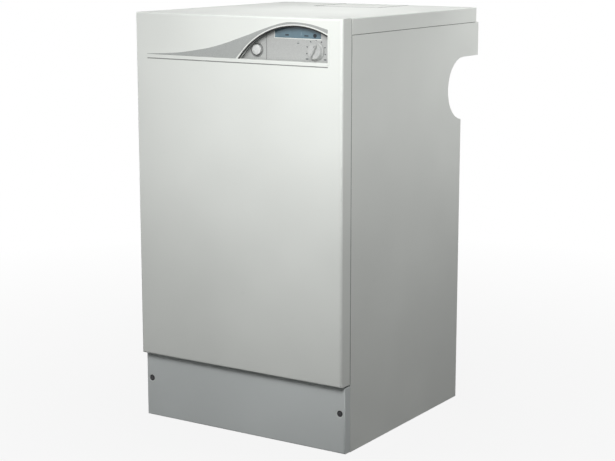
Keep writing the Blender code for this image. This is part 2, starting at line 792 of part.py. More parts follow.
def make_door_catch(name, side):
    outer = HALF_WIDTH - SHEET - FIT_GAP
    inner = outer - CATCH_WIDTH
    front = FRONT + SHEET + FIT_GAP
    low = (min(side * inner, side * outer), front, UPPER_STUD_HEIGHT - CATCH_HEIGHT / 2)
    high = (max(side * inner, side * outer), front + CATCH_LENGTH, UPPER_STUD_HEIGHT + CATCH_HEIGHT / 2)
    catch = box(name, low, high, BLACK_PLASTIC)
    start = (side * (HALF_WIDTH - STUD_INSET), front - OVERRUN, UPPER_STUD_HEIGHT)
    bore = cylinder(f"{name}_bore", STUD_RADIUS + FIT_GAP, start, CATCH_LENGTH + 2 * OVERRUN, ALONG_Y, sides=SMALL_SIDES)
    slit = box(
        f"{name}_slit",
        (min(side * inner, start[0]) - FIT_GAP, start[1], UPPER_STUD_HEIGHT - STUD_RADIUS / 2),
        (max(side * inner, start[0]) + FIT_GAP, front + CATCH_LENGTH + OVERRUN, UPPER_STUD_HEIGHT + STUD_RADIUS / 2),
    )
    cut(catch, bore, slit)


def make_door_trim():
    face = DOOR_FACE - TRIM_PROUD
    seat = DOOR_FACE - FIT_GAP
    bezel = prism("door_bezel", opening_outline(RIM_WIDTH), face, seat, ALONG_Y, WHITE_PLASTIC)
    bead = box(
        "bead",
        (from_left(BEAD_LEFT), face, OPENING_BOTTOM - BEAD_HEIGHT),
        (from_left(OPENING_RIGHT), seat, OPENING_BOTTOM),
    )
    lip = prism("lip", opening_outline(LIP_WALL), face + SHEET / 4, DOOR_FACE + BEZEL_LIP, ALONG_Y)
    window = prism("window", opening_outline(0), face - OVERRUN, DOOR_FACE + BEZEL_LIP + OVERRUN, ALONG_Y)
    cut(join(bezel, bead, lip), window)

    length = OPENING_RIGHT - BEAD_LEFT
    foot = OPENING_BOTTOM + FIT_GAP
    upper = [(from_left(BEAD_LEFT + along * length), foot + up * SWEEP_HEIGHT) for along, up in SWEEP_SHARES]
    rim = arch_points(RIM_WIDTH + FIT_GAP)
    rim = [point for point in rim if point[1] > foot + FIT_GAP and point[0] < from_left(OPENING_RIGHT)]
    centre, centre_height = from_left(ARCH_CENTRE_FROM_LEFT), ARCH_TOP - ARCH_RADIUS
    reach = ARCH_RADIUS + RIM_WIDTH + FIT_GAP
    rim_foot = (centre - sqrt(reach**2 - (foot - centre_height) ** 2), foot)
    rim_end_height = centre_height + sqrt(reach**2 - (from_left(OPENING_RIGHT) - centre) ** 2)
    rim_end = (from_left(OPENING_RIGHT), rim_end_height)
    outline = smooth_line(upper, SWEEP_STEPS) + [rim_end] + rim[::-1] + [rim_foot, (upper[0][0], foot)]
    prism("door_sweep_trim", outline, seat - SWEEP_THICKNESS, seat, ALONG_Y, SILVER_PAINT)


def make_fascia():
    back = DOOR_BACK - FIT_GAP
    seam = FIT_GAP / 2
    spans = {
        "button_fascia": (from_left(FASCIA_LEFT), from_left(FASCIA_SEAM) - seam),
        "control_fascia": (from_left(FASCIA_SEAM) + seam, from_left(FASCIA_RIGHT)),
    }
    made = {}
    for name, (left, right) in spans.items():
        low, high = (left, FASCIA_FACE, FASCIA_BOTTOM), (right, back, FASCIA_TOP)
        made[name] = open_shell(name, low, high, (0, 1, 0), SILVER_PAINT, FASCIA_WALL, edge=FASCIA_EDGE)
    display_low = (from_left(DISPLAY_LEFT), FASCIA_FACE, DISPLAY_BOTTOM)
    display_high = (from_left(DISPLAY_RIGHT), FASCIA_FACE + DISPLAY_THICKNESS, DISPLAY_BOTTOM + DISPLAY_HEIGHT)
    gap = Vector((FIT_GAP, 0, FIT_GAP))
    recess = box(
        "display_recess",
        Vector(display_low) - gap - Vector((0, OVERRUN, 0)),
        Vector(display_high) + gap + Vector((0, FIT_GAP / 2, 0)),
    )
    spindle = cylinder(
        "spindle_hole",
        SPINDLE_RADIUS + SPINDLE_CLEARANCE,
        (from_left(KNOB_FROM_LEFT), FASCIA_FACE - OVERRUN, KNOB_HEIGHT),
        FASCIA_WALL + 2 * OVERRUN,
        ALONG_Y,
        sides=SMALL_SIDES,
    )
    ring = cylinder(
        "ring_hole",
        BUTTON_RADIUS + BUTTON_CLEARANCE + SLEEVE_WALL + FIT_GAP,
        (from_left(BUTTON_FROM_LEFT), FASCIA_FACE - OVERRUN, BUTTON_HEIGHT),
        FASCIA_WALL + 2 * OVERRUN,
        ALONG_Y,
    )
    cut(made["control_fascia"], recess, spindle)
    cut(made["button_fascia"], ring)
    box("display_window", display_low, display_high, BLUE_LENS)


def make_thermostat():
    x = from_left(KNOB_FROM_LEFT)
    back = FASCIA_FACE - KNOB_RUNNING_GAP
    top = -KNOB_SKIRT - KNOB_LENGTH
    end = KNOB_RUNNING_GAP + FASCIA_WALL + FIT_GAP + SPINDLE_ENGAGED
    profile = [
        (0, top),
        (KNOB_RADIUS - 2 * KNOB_TAPER, top),
        (KNOB_RADIUS - KNOB_TAPER, top + KNOB_TAPER / 2),
        (KNOB_RADIUS, -KNOB_SKIRT),
        (KNOB_SKIRT_RADIUS, -KNOB_SKIRT),
        (KNOB_SKIRT_RADIUS, 0),
        (SPINDLE_RADIUS, 0),
        (SPINDLE_RADIUS, end),
        (0, end),
    ]
    knob = turned("thermostat_knob", profile, (x, back, KNOB_HEIGHT), ALONG_Y, SILVER_PAINT, sides=32)
    half, reach = KNOB_GRIP_WIDTH / 2, 2 * KNOB_RADIUS
    for side in (-1, 1):
        corners = ((side * half, -reach), (side * reach, -reach), (side * reach, reach), (side * half, reach))
        outline = []
        for across, up in corners:
            along_x = x + across * cos(KNOB_REST_ANGLE) + up * sin(KNOB_REST_ANGLE)
            outline.append((along_x, KNOB_HEIGHT - across * sin(KNOB_REST_ANGLE) + up * cos(KNOB_REST_ANGLE)))
        cut(knob, prism("grip_side", outline, back + top - OVERRUN, back + top + KNOB_GRIP_HEIGHT, ALONG_Y))
    side = THERMOSTAT_SIDE / 2
    front = FASCIA_FACE + FASCIA_WALL + FIT_GAP
    body = box(
        "thermostat_body",
        (x - side, front, KNOB_HEIGHT - side),
        (x + side, front + THERMOSTAT_LENGTH, KNOB_HEIGHT + side),
        GREY_PLASTIC,
        bevel=FASCIA_EDGE,
        segments=1,
    )
    depth = SPINDLE_ENGAGED + SPINDLE_CLEARANCE + OVERRUN
    start = (x, front - OVERRUN, KNOB_HEIGHT)
    cut(body, cylinder("spindle_bore", SPINDLE_RADIUS + SPINDLE_CLEARANCE, start, depth, ALONG_Y, sides=SMALL_SIDES))


def make_push_button():
    x = from_left(BUTTON_FROM_LEFT)
    inner = BUTTON_RADIUS + BUTTON_CLEARANCE
    sleeve = inner + SLEEVE_WALL
    body_end = BUTTON_BODY - BUTTON_RING_PROUD
    sleeve_end = body_end + BUTTON_TRAVEL + FIT_GAP
    ring_profile = [
        (inner, -BUTTON_RING_PROUD),
        (BUTTON_RING_RADIUS - BUTTON_RING_PROUD / 2, -BUTTON_RING_PROUD),
        (BUTTON_RING_RADIUS, -BUTTON_RING_PROUD / 2),
        (BUTTON_RING_RADIUS, -FIT_GAP),
        (sleeve, -FIT_GAP),
        (sleeve, sleeve_end),
        (inner, sleeve_end),
    ]
    turned("push_button_ring", ring_profile, (x, FASCIA_FACE, BUTTON_HEIGHT), ALONG_Y, SILVER_PAINT)
    stem_end = sleeve_end + FIT_GAP + BUTTON_STEM_ENGAGED
    dome = []
    for step in range(5):
        angle = pi / 2 * step / 4
        height = -BUTTON_RING_PROUD - BUTTON_DOME * cos(angle)
        dome.append((BUTTON_RADIUS * sin(angle), height))
    profile = dome + [
        (BUTTON_RADIUS, body_end),
        (BUTTON_STEM_RADIUS, body_end),
        (BUTTON_STEM_RADIUS, stem_end),
        (0, stem_end),
    ]
    turned("push_button", profile, (x, FASCIA_FACE, BUTTON_HEIGHT), ALONG_Y, WHITE_PLASTIC)
    side = SWITCH_SIDE / 2
    front = FASCIA_FACE + sleeve_end + FIT_GAP
    switch = box(
        "push_button_switch",
        (x - side, front, BUTTON_HEIGHT - side),
        (x + side, front + SWITCH_LENGTH, BUTTON_HEIGHT + side),
        GREY_PLASTIC,
    )
    depth = OVERRUN + BUTTON_STEM_ENGAGED + BUTTON_TRAVEL + BUTTON_CLEARANCE
    start = (x, front - OVERRUN, BUTTON_HEIGHT)
    cut(switch, cylinder("stem_bore", BUTTON_STEM_RADIUS + BUTTON_CLEARANCE, start, depth, ALONG_Y, sides=SMALL_SIDES))


def make_plinth():
    face = FRONT - PLINTH_STAND
    back = FRONT - PLINTH_RETURN_GAP
    low, high = (-HALF_WIDTH, face, 2 * FLOOR_GAP), (HALF_WIDTH, back, PLINTH_TOP)
    plinth = open_shell("plinth_panel", low, high, (0, 1, 0), GREY_PAINT, edge=PLINTH_RADIUS)
    for side, word in ((-1, "left"), (1, "right")):
        x = side * (HALF_WIDTH - PLINTH_SCREW_INSET)
        cup_end = DIMPLE_DEPTH + SHEET
        cup = cylinder(
            f"dimple_cup_{word}", DIMPLE_RADIUS, (x, face + SHEET / 2, PLINTH_SCREW_HEIGHT), cup_end - SHEET / 2, ALONG_Y
        )
        dent_profile = [
            (0, -OVERRUN),
            (DIMPLE_RADIUS, -OVERRUN),
            (DIMPLE_RADIUS, 0),
            (SCREW_HEAD_RADIUS + 2 * SCREW_CLEARANCE, DIMPLE_DEPTH),
            (0, DIMPLE_DEPTH),
        ]
        dent = turned(f"dimple_{word}", dent_profile, (x, face, PLINTH_SCREW_HEIGHT), ALONG_Y)
        hole = cylinder(
            f"plinth_hole_{word}",
            SCREW_RADIUS + SCREW_CLEARANCE,
            (x, face - OVERRUN, PLINTH_SCREW_HEIGHT),
            cup_end + 2 * OVERRUN,
            ALONG_Y,
            sides=SMALL_SIDES,
        )
        cut(join(plinth, cup), dent, hole)
        seat = DIMPLE_DEPTH - FIT_GAP
        screw_profile = [
            (0, seat - SCREW_HEAD_HEIGHT),
            (SCREW_HEAD_RADIUS * 3 / 4, seat - SCREW_HEAD_HEIGHT),
            (SCREW_HEAD_RADIUS, seat - SCREW_HEAD_HEIGHT / 2),
            (SCREW_HEAD_RADIUS, seat),
            (SCREW_RADIUS, seat),
            (SCREW_RADIUS, PLINTH_STAND + SHEET + SCREW_PAST),
            (0, PLINTH_STAND + SHEET + SCREW_PAST),
        ]
        turned(
            f"plinth_screw_{word}", screw_profile, (x, face, PLINTH_SCREW_HEIGHT), ALONG_Y, ZINC, sides=SMALL_SIDES
        )


def make_base_tray():
    low = (-INNER_HALF, FRONT + SHEET + FIT_GAP, TRAY_HEIGHT)
    high = (INNER_HALF, at_depth(BACK_PANEL_DEPTH) - FIT_GAP, TRAY_HEIGHT + TRAY_FLANGE)
    tray = open_shell("base_tray", low, high, (0, 0, 1), ZINC, TRAY_SHEET)
    for number, (x, y) in enumerate(foot_places()):
        start = (x, y, TRAY_HEIGHT - OVERRUN)
        radius = FOOT_STUD_RADIUS + FOOT_CLEARANCE
        cut(tray, cylinder(f"foot_hole_{number}", radius, start, TRAY_SHEET + 2 * OVERRUN, ALONG_Z))


def foot_places():
    front, rear = FRONT + FOOT_INSET, at_depth(BACK_PANEL_DEPTH) - FOOT_INSET
    side = HALF_WIDTH - FOOT_INSET
    return [(-side, front), (side, front), (-side, rear), (side, rear)]


def make_feet():
    words = ("front_left", "front_right", "rear_left", "rear_right")
    nut_top = TRAY_HEIGHT - FIT_GAP
    profile = [
        (0, 0),
        (FOOT_PAD_RADIUS, 0),
        (FOOT_PAD_RADIUS, FOOT_PAD_HEIGHT / 2),
        (FOOT_STUD_RADIUS * 2, FOOT_PAD_HEIGHT),
        (FOOT_STUD_RADIUS, FOOT_PAD_HEIGHT),
        (FOOT_STUD_RADIUS, FOOT_STUD_TOP),
        (0, FOOT_STUD_TOP),
    ]
    for word, (x, y) in zip(words, foot_places()):
        foot = turned(f"levelling_foot_{word}", profile, (x, y, 0), ALONG_Z, ZINC)
        start = (x, y, nut_top - FOOT_NUT_HEIGHT)
        join(foot, cylinder(f"foot_nut_{word}", FOOT_NUT_RADIUS, start, FOOT_NUT_HEIGHT, ALONG_Z, sides=6))


def make_back_panel():
    front = at_depth(BACK_PANEL_DEPTH - BACK_FLANGE)
    rear = at_depth(BACK_PANEL_DEPTH) + SHEET
    bottom = TRAY_HEIGHT + TRAY_FLANGE + FIT_GAP
    top = SIDE_TOP - SHEET - FIT_GAP
    low, high = (-INNER_HALF, front, bottom), (INNER_HALF, rear, top)
    panel = open_shell("back_panel", low, high, (0, -1, 0), ZINC)
    holes = (
        ("flue_hole", 0, FLUE_HEIGHT, FLUE_OUTER_RADIUS + HOLE_CLEARANCE),
        ("flow_hole", -WATER_OFFSET, FLOW_HEIGHT, WATER_RADIUS + HOLE_CLEARANCE),
        ("return_hole", WATER_OFFSET, RETURN_HEIGHT, WATER_RADIUS + HOLE_CLEARANCE),
        ("gas_hole", GAS_VALVE_OFFSET, GAS_PIPE_HEIGHT, GAS_RADIUS + HOLE_CLEARANCE),
        ("condensate_hole", TRAP_OFFSET, TRAP_OUTLET_HEIGHT, CONDENSATE_RADIUS + HOLE_CLEARANCE),
        ("gland_hole", GLAND_OFFSET, GLAND_HEIGHT, GLAND_BORE + FIT_GAP),
    )
    for name, x, z, radius in holes:
        start = (x, rear - SHEET - OVERRUN, z)
        cut(panel, cylinder(name, radius, start, SHEET + 2 * OVERRUN, ALONG_Y))


def make_cable_gland():
    rear = at_depth(BACK_PANEL_DEPTH) + SHEET + FIT_GAP
    profile = [
        (GLAND_BORE, 0),
        (GLAND_BORE, GLAND_LENGTH),
        (GLAND_RADIUS * 3 / 4, GLAND_LENGTH),
        (GLAND_RADIUS, GLAND_LENGTH * 3 / 4),
        (GLAND_RADIUS, GLAND_FLANGE),
        (GLAND_RADIUS + GLAND_FLANGE, GLAND_FLANGE),
        (GLAND_RADIUS + GLAND_FLANGE, 0),
    ]
    turned("cable_gland", profile, (GLAND_OFFSET, rear, GLAND_HEIGHT), ALONG_Y, BLACK_PLASTIC)


def make_rails():
    bottom = SIDE_TOP + FIT_GAP
    top = LID_UNDERSIDE - FIT_GAP
    front = FRONT + SHEET + FIT_GAP
    rear = at_depth(BACK_PANEL_DEPTH) - LEDGE
    spans = {"top_rail_front": (front, front + RAIL_WIDTH), "top_rail_rear": (rear - RAIL_WIDTH, rear)}
    for name, (start, end) in spans.items():
        open_shell(name, (-INNER_HALF, start, bottom), (INNER_HALF, end, top), (0, 0, -1), ZINC)


def make_control_box():
    left, right = from_left(BOX_LEFT), from_left(BOX_RIGHT)
    low, high = (left, DOOR_BACK, BOX_BOTTOM), (right, at_depth(BOX_DEPTH), SIDE_TOP)
    shell = open_shell("control_box", low, high, (0, -1, 0), GREY_PLASTIC, BOX_WALL)
    floor = BOX_BOTTOM + BOX_WALL
    board_left = from_left(FASCIA_SEAM)
    board_right = right - BOX_WALL - BOARD_MARGIN
    board_front = DOOR_BACK + 2 * BOARD_MARGIN
    board_rear = at_depth(BOX_DEPTH) - BOX_WALL - BOARD_MARGIN
    for x in (board_left + BOARD_MARGIN, board_right - BOARD_MARGIN):
        for y in (board_front + BOARD_MARGIN, board_rear - BOARD_MARGIN):
            start = (x, y, floor - BOX_WALL / 2)
            height = BOARD_PILLAR + BOX_WALL / 2
            pillar = cylinder("board_pillar", BOARD_PILLAR_RADIUS, start, height, ALONG_Z, sides=SMALL_SIDES)
            join(shell, pillar)
    board_bottom = floor + BOARD_PILLAR + FIT_GAP
    board_top = board_bottom + BOARD_THICKNESS
    board_low, board_high = (board_left, board_front, board_bottom), (board_right, board_rear, board_top)
    board = box("circuit_board", board_low, board_high, CIRCUIT_GREEN)
    width, depth = board_right - board_left, board_rear - board_front
    heights = {
        "transformer": TRANSFORMER_HEIGHT,
        "relay": RELAY_HEIGHT,
        "second_relay": RELAY_HEIGHT,
        "terminal_strip": TERMINAL_HEIGHT,
    }
    for name, height in heights.items():
        near, far = COMPONENT_SHARES[name]
        corner = (board_left + near[0] * width, board_front + near[1] * depth, board_top - BOARD_THICKNESS / 2)
        opposite = (board_left + far[0] * width, board_front + far[1] * depth, board_top + height)
        join(board, box(name, corner, opposite))


def exchanger_outline(grow, steps=2):
    half = EXCHANGER_WIDTH / 2 + grow
    front, rear = at_depth(EXCHANGER_START) - grow, at_depth(EXCHANGER_START + EXCHANGER_DEPTH) + grow
    return rounded_outline((-half, front), (half, rear), EXCHANGER_CORNER, steps)


def make_heat_exchanger():
    """One casting: a foot flange, a finned shell round the water ways, a plain band for the ports and a top flange."""
    wide, deep = exchanger_outline(EXCHANGER_FLANGE_PROUD), exchanger_outline(-FIN_DEPTH)
    full = exchanger_outline(0)
    sections = [(EXCHANGER_BOTTOM, wide), (EXCHANGER_BOTTOM + EXCHANGER_FLANGE, wide)]
    start = EXCHANGER_BOTTOM + EXCHANGER_FLANGE
    pitch = (FIN_ZONE_TOP - start) / FIN_COUNT
    for number in range(FIN_COUNT):
        foot = start + number * pitch
        valley = foot + pitch * (1 - FIN_SHARE)
        draft = pitch * FIN_SHARE / 4
        sections += [(foot + draft, deep), (valley - draft, deep), (valley, full), (foot + pitch, full)]
    flange = EXCHANGER_TOP - EXCHANGER_FLANGE
    sections += [(flange, full), (flange + draft, wide), (EXCHANGER_TOP, wide)]
    body = stacked("heat_exchanger", sections, CAST_METAL)
    half = EXCHANGER_WIDTH / 2 - CHAMBER_WALL
    front, rear = EXCHANGER_START + CHAMBER_WALL, EXCHANGER_START + EXCHANGER_DEPTH - CHAMBER_WALL
    chamber = box(
        "chamber",
        (-half, at_depth(front), CHAMBER_BOTTOM),
        (half, at_depth(rear), EXCHANGER_TOP + OVERRUN),
    )
    cut(body, chamber)
    depth = CHAMBER_WALL + 2 * OVERRUN
    for name, x in (("ignition_port", ELECTRODE_PITCH), ("sensing_port", 2 * ELECTRODE_PITCH)):
        start = (x, at_depth(EXCHANGER_START) - OVERRUN, PORT_HEIGHT)
        radius = ELECTRODE_RADIUS + ELECTRODE_CLEARANCE
        cut(body, cylinder(name, radius, start, depth, ALONG_Y, sides=SMALL_SIDES))
    start = (0, at_depth(EXCHANGER_START) - OVERRUN, PORT_HEIGHT)
    cut(body, cylinder("sight_port", PORT_RADIUS, start, depth, ALONG_Y, sides=SMALL_SIDES))
    start = (-THERMISTOR_OFFSET, at_depth(EXCHANGER_START) - OVERRUN, PORT_HEIGHT)
    pocket = THERMISTOR_POCKET + OVERRUN + FIT_GAP
    cut(body, cylinder("pocket", PORT_RADIUS + FIT_GAP, start, pocket, ALONG_Y, sides=SMALL_SIDES))
    for name, x, z in (("flow_boss", -WATER_OFFSET, FLOW_HEIGHT), ("return_boss", WATER_OFFSET, RETURN_HEIGHT)):
        boss_start = (x, at_depth(EXCHANGER_START + EXCHANGER_DEPTH - CHAMBER_WALL / 2), z)
        reach = CHAMBER_WALL / 2 + EXCHANGER_FLANGE_PROUD
        join(body, cylinder(name, UNION_RADIUS, boss_start, reach, ALONG_Y))


def make_exchanger_stand():
    half = EXCHANGER_WIDTH / 2 + EXCHANGER_FLANGE_PROUD
    front = at_depth(EXCHANGER_START) - EXCHANGER_FLANGE_PROUD
    rear = at_depth(EXCHANGER_START + EXCHANGER_DEPTH) + EXCHANGER_FLANGE_PROUD
    foot, top = TRAY_TOP + FIT_GAP, EXCHANGER_BOTTOM - FIT_GAP
    stand = box("exchanger_stand", (-half, front, foot), (half, rear, foot + STAND_SHEET), ZINC)
    for side, word in ((-1, "left"), (1, "right")):
        outer, inner, lip = half, half - STAND_SHEET, half - EXCHANGER_FLANGE_PROUD
        wall = box(
            f"stand_wall_{word}",
            (min(side * inner, side * outer), front, foot),
            (max(side * inner, side * outer), rear, top),
        )
        shelf = box(
            f"stand_shelf_{word}",
            (min(side * lip, side * outer), front, top - STAND_SHEET),
            (max(side * lip, side * outer), rear, top),
        )
        join(stand, wall, shelf)
    window_low, window_high = foot + TRAY_FLANGE, top - TRAY_FLANGE
    window = box(
        "stand_window",
        (-half - OVERRUN, front + TRAY_FLANGE, window_low),
        (half + OVERRUN, rear - TRAY_FLANGE, window_high),
    )
    cut(stand, window)


def make_burner():
    plate_bottom = EXCHANGER_TOP + FIT_GAP
    outline = exchanger_outline(EXCHANGER_FLANGE_PROUD)
    plate = stacked("burner_plate", [(plate_bottom, outline), (plate_bottom + BURNER_PLATE, outline)], CAST_METAL)
    low, high = fan_outlet()
    inlet = box("burner_inlet", (*low, plate_bottom - OVERRUN), (*high, plate_bottom + BURNER_PLATE + OVERRUN))
    cut(plate, inlet)
    x = (low[0] + high[0]) / 2
    y = at_depth(EXCHANGER_START + EXCHANGER_DEPTH / 2)
    flange = BURNER_RADIUS + BURNER_FLANGE_PROUD
    profile = [
        (0, -BURNER_FLANGE - BURNER_LENGTH),
        (BURNER_RADIUS - EXCHANGER_FLANGE / 2, -BURNER_FLANGE - BURNER_LENGTH),
        (BURNER_RADIUS, -BURNER_LENGTH),
        (BURNER_RADIUS, -BURNER_FLANGE),
        (flange, -BURNER_FLANGE),
        (flange, 0),
        (BURNER_RADIUS - PIPE_WALL * 2, 0),
        (BURNER_RADIUS - PIPE_WALL * 2, -BURNER_LENGTH),
        (0, -BURNER_LENGTH),
    ]
    turned("burner", profile, (x, y, EXCHANGER_TOP), ALONG_Z, STAINLESS)


def scroll_outline(shrink, foot):
    """The fan's spiral, growing clockwise from its tongue to the straight outlet that runs down to foot."""
    largest = SCROLL_START_RADIUS + SCROLL_GROWTH
    inner_wall = largest - FAN_OUTLET_WIDTH + shrink
    start_radius = SCROLL_START_RADIUS - shrink
    tongue = sqrt(start_radius**2 - inner_wall**2)
    sweep = tau - atan2(tongue, inner_wall)
    points = []
    for step in range(SCROLL_STEPS + 1):
        share = step / SCROLL_STEPS
        angle = sweep - tau - sweep * share
        radius = start_radius + SCROLL_GROWTH * share
        points.append((FAN_OFFSET + radius * cos(angle), FAN_HEIGHT + radius * sin(angle)))
    return points + [(FAN_OFFSET + largest - shrink, foot), (FAN_OFFSET + inner_wall, foot)]


def fan_outlet():
    """The two corners, in X and Y, of the opening at the fan's foot."""
    right = FAN_OFFSET + SCROLL_START_RADIUS + SCROLL_GROWTH - FAN_WALL
    left = right - FAN_OUTLET_WIDTH + 2 * FAN_WALL
    front = at_depth(FAN_START + FAN_WALL)
    return (left, front), (right, front + FAN_DEPTH - 2 * FAN_WALL)


def make_fan():
    front, rear = at_depth(FAN_START), at_depth(FAN_START + FAN_DEPTH)
    foot = EXCHANGER_TOP + FIT_GAP + BURNER_PLATE + FIT_GAP
    housing = prism("fan_housing", scroll_outline(0, foot), front, rear, ALONG_Y, CAST_METAL)
    low, high = fan_outlet()
    proud = FAN_WALL + FAN_FOOT_PROUD
    flange = box(
        "fan_foot",
        (low[0] - proud, low[1] - proud, foot),
        (high[0] + proud, high[1] + proud, foot + FAN_FOOT),
    )
    hollow = prism("scroll_hollow", scroll_outline(FAN_WALL, foot - OVERRUN), low[1], high[1], ALONG_Y)
    eye_start = (FAN_OFFSET, rear - FAN_WALL - FIT_GAP, FAN_HEIGHT)
    eye = cylinder("fan_eye", EYE_RADIUS, eye_start, FAN_WALL + OVERRUN, ALONG_Y)
    shaft_start = (FAN_OFFSET, front - OVERRUN, FAN_HEIGHT)
    shaft_hole = cylinder("shaft_hole", SHAFT_RADIUS + SHAFT_CLEARANCE, shaft_start, FAN_WALL + 2 * OVERRUN, ALONG_Y)
    cut(join(housing, flange), hollow, eye, shaft_hole)

    centre = Vector((FAN_OFFSET, front, FAN_HEIGHT))
    plate_front = FAN_WALL + IMPELLER_GAP
    hub_rear = plate_front + IMPELLER_PLATE + HUB_RADIUS
    profile = [
        (0, -SHAFT_LENGTH),
        (SHAFT_RADIUS, -SHAFT_LENGTH),
        (SHAFT_RADIUS, plate_front),
        (IMPELLER_RADIUS, plate_front),
        (IMPELLER_RADIUS, plate_front + IMPELLER_PLATE),
        (HUB_RADIUS, plate_front + IMPELLER_PLATE),
        (SHAFT_RADIUS, hub_rear),
        (0, hub_rear),
    ]
    impeller = turned("fan_impeller", profile, centre, ALONG_Y, STAINLESS)
    outlines = []
    for number in range(BLADE_COUNT):
        angle = tau * number / BLADE_COUNT
        inner, outer = IMPELLER_INNER, IMPELLER_RADIUS - BLADE_THICKNESS / 4
        corners = []
        for radius, turn, side in ((inner, 0, -1), (outer, BLADE_SWEEP, -1), (outer, BLADE_SWEEP, 1), (inner, 0, 1)):
            at = angle + turn + side * BLADE_THICKNESS / 2 / radius
            corners.append((FAN_OFFSET + radius * cos(at), FAN_HEIGHT + radius * sin(at)))
        outlines.append(corners)
    blade_front = front + plate_front + IMPELLER_PLATE / 2
    blade_rear = rear - FAN_WALL - IMPELLER_GAP
    join(impeller, prisms("blades", outlines, blade_front, blade_rear))

    bore = SHAFT_RADIUS + SHAFT_CLEARANCE
    step = MOTOR_RADIUS - MOTOR_STEP
    motor_profile = [
        (bore, -FIT_GAP),
        (MOTOR_RADIUS, -FIT_GAP),
        (MOTOR_RADIUS, -FIT_GAP - MOTOR_FLANGE),
        (step, -FIT_GAP - MOTOR_FLANGE),
        (step, -MOTOR_LENGTH + MOTOR_STEP),
        (step - MOTOR_STEP, -MOTOR_LENGTH),
        (0, -MOTOR_LENGTH),
        (0, -SHAFT_LENGTH - SHAFT_CLEARANCE),
        (bore, -SHAFT_LENGTH - SHAFT_CLEARANCE),
    ]
    turned("fan_motor", motor_profile, centre, ALONG_Y, BLACK_PLASTIC, sides=32)


def prisms(name, outlines, start, end):
    """Several outlines in X and Z, pushed along Y together."""

    def build(bm):
        for outline in outlines:
            face = bm.faces.new([bm.verts.new((x, start, z)) for x, z in outline])
            pushed = bmesh.ops.extrude_face_region(bm, geom=[face])["geom"]
            moved = [vert for vert in pushed if isinstance(vert, bmesh.types.BMVert)]
            bmesh.ops.translate(bm, vec=(0, end - start, 0), verts=moved)

    return place(name, mesh_from(name, build))


def make_venturi():
    start = at_depth(FAN_START + FAN_DEPTH) + FIT_GAP
    wide, narrow = VENTURI_MOUTH, VENTURI_THROAT
    flange = wide + VENTURI_WALL / 2 + VENTURI_FLANGE_PROUD
    throat = VENTURI_LENGTH / 2
    profile = [
        (wide, 0),
        (narrow, throat),
        (wide, VENTURI_LENGTH),
        (wide + VENTURI_WALL / 2, VENTURI_LENGTH),
        (narrow + VENTURI_WALL, throat + VENTURI_WALL),
        (narrow + VENTURI_WALL, throat - VENTURI_WALL),
        (wide + VENTURI_WALL / 2, VENTURI_FLANGE),
        (flange, VENTURI_FLANGE),
        (flange, 0),
    ]
    venturi = turned("venturi", profile, (FAN_OFFSET, start, FAN_HEIGHT), ALONG_Y, CAST_METAL)
    y = start + throat
    inside = (FAN_OFFSET + narrow + VENTURI_WALL / 2, y, FAN_HEIGHT)
    reach = VENTURI_WALL / 2 + VENTURI_BOSS_REACH
    boss = cylinder("venturi_boss", VENTURI_BOSS_RADIUS, inside, reach, ALONG_X)
    bore = cylinder("gas_port", MIX_RADIUS - PIPE_WALL, (FAN_OFFSET, y, FAN_HEIGHT), narrow + 2 * reach, ALONG_X)
    cut(join(venturi, boss), bore)
    boss_end = inside[0] + reach
    valve_side = GAS_VALVE_OFFSET - GAS_VALVE_WIDTH / 2
    pipe_start = boss_end + FIT_GAP
    straight_pipe(
        "gas_mixing_pipe",
        (pipe_start, y, FAN_HEIGHT),
        valve_side - FIT_GAP - pipe_start,
        MIX_RADIUS,
        PIPE_WALL,
        ALONG_X,
        COPPER,
    )
    make_gas_train(y)


def straight_pipe(name, start, length, radius, wall, axis, finish, union=0, union_length=0):
    """A bored pipe, with a thicker union at its far end where one is given."""
    bore = radius - wall
    profile = [(bore, 0), (bore, length)]
    if union:
        profile += [(union, length), (union, length - union_length), (radius, length - union_length)]
    else:
        profile += [(radius, length)]
    return turned(name, profile + [(radius, 0)], start, axis, finish)


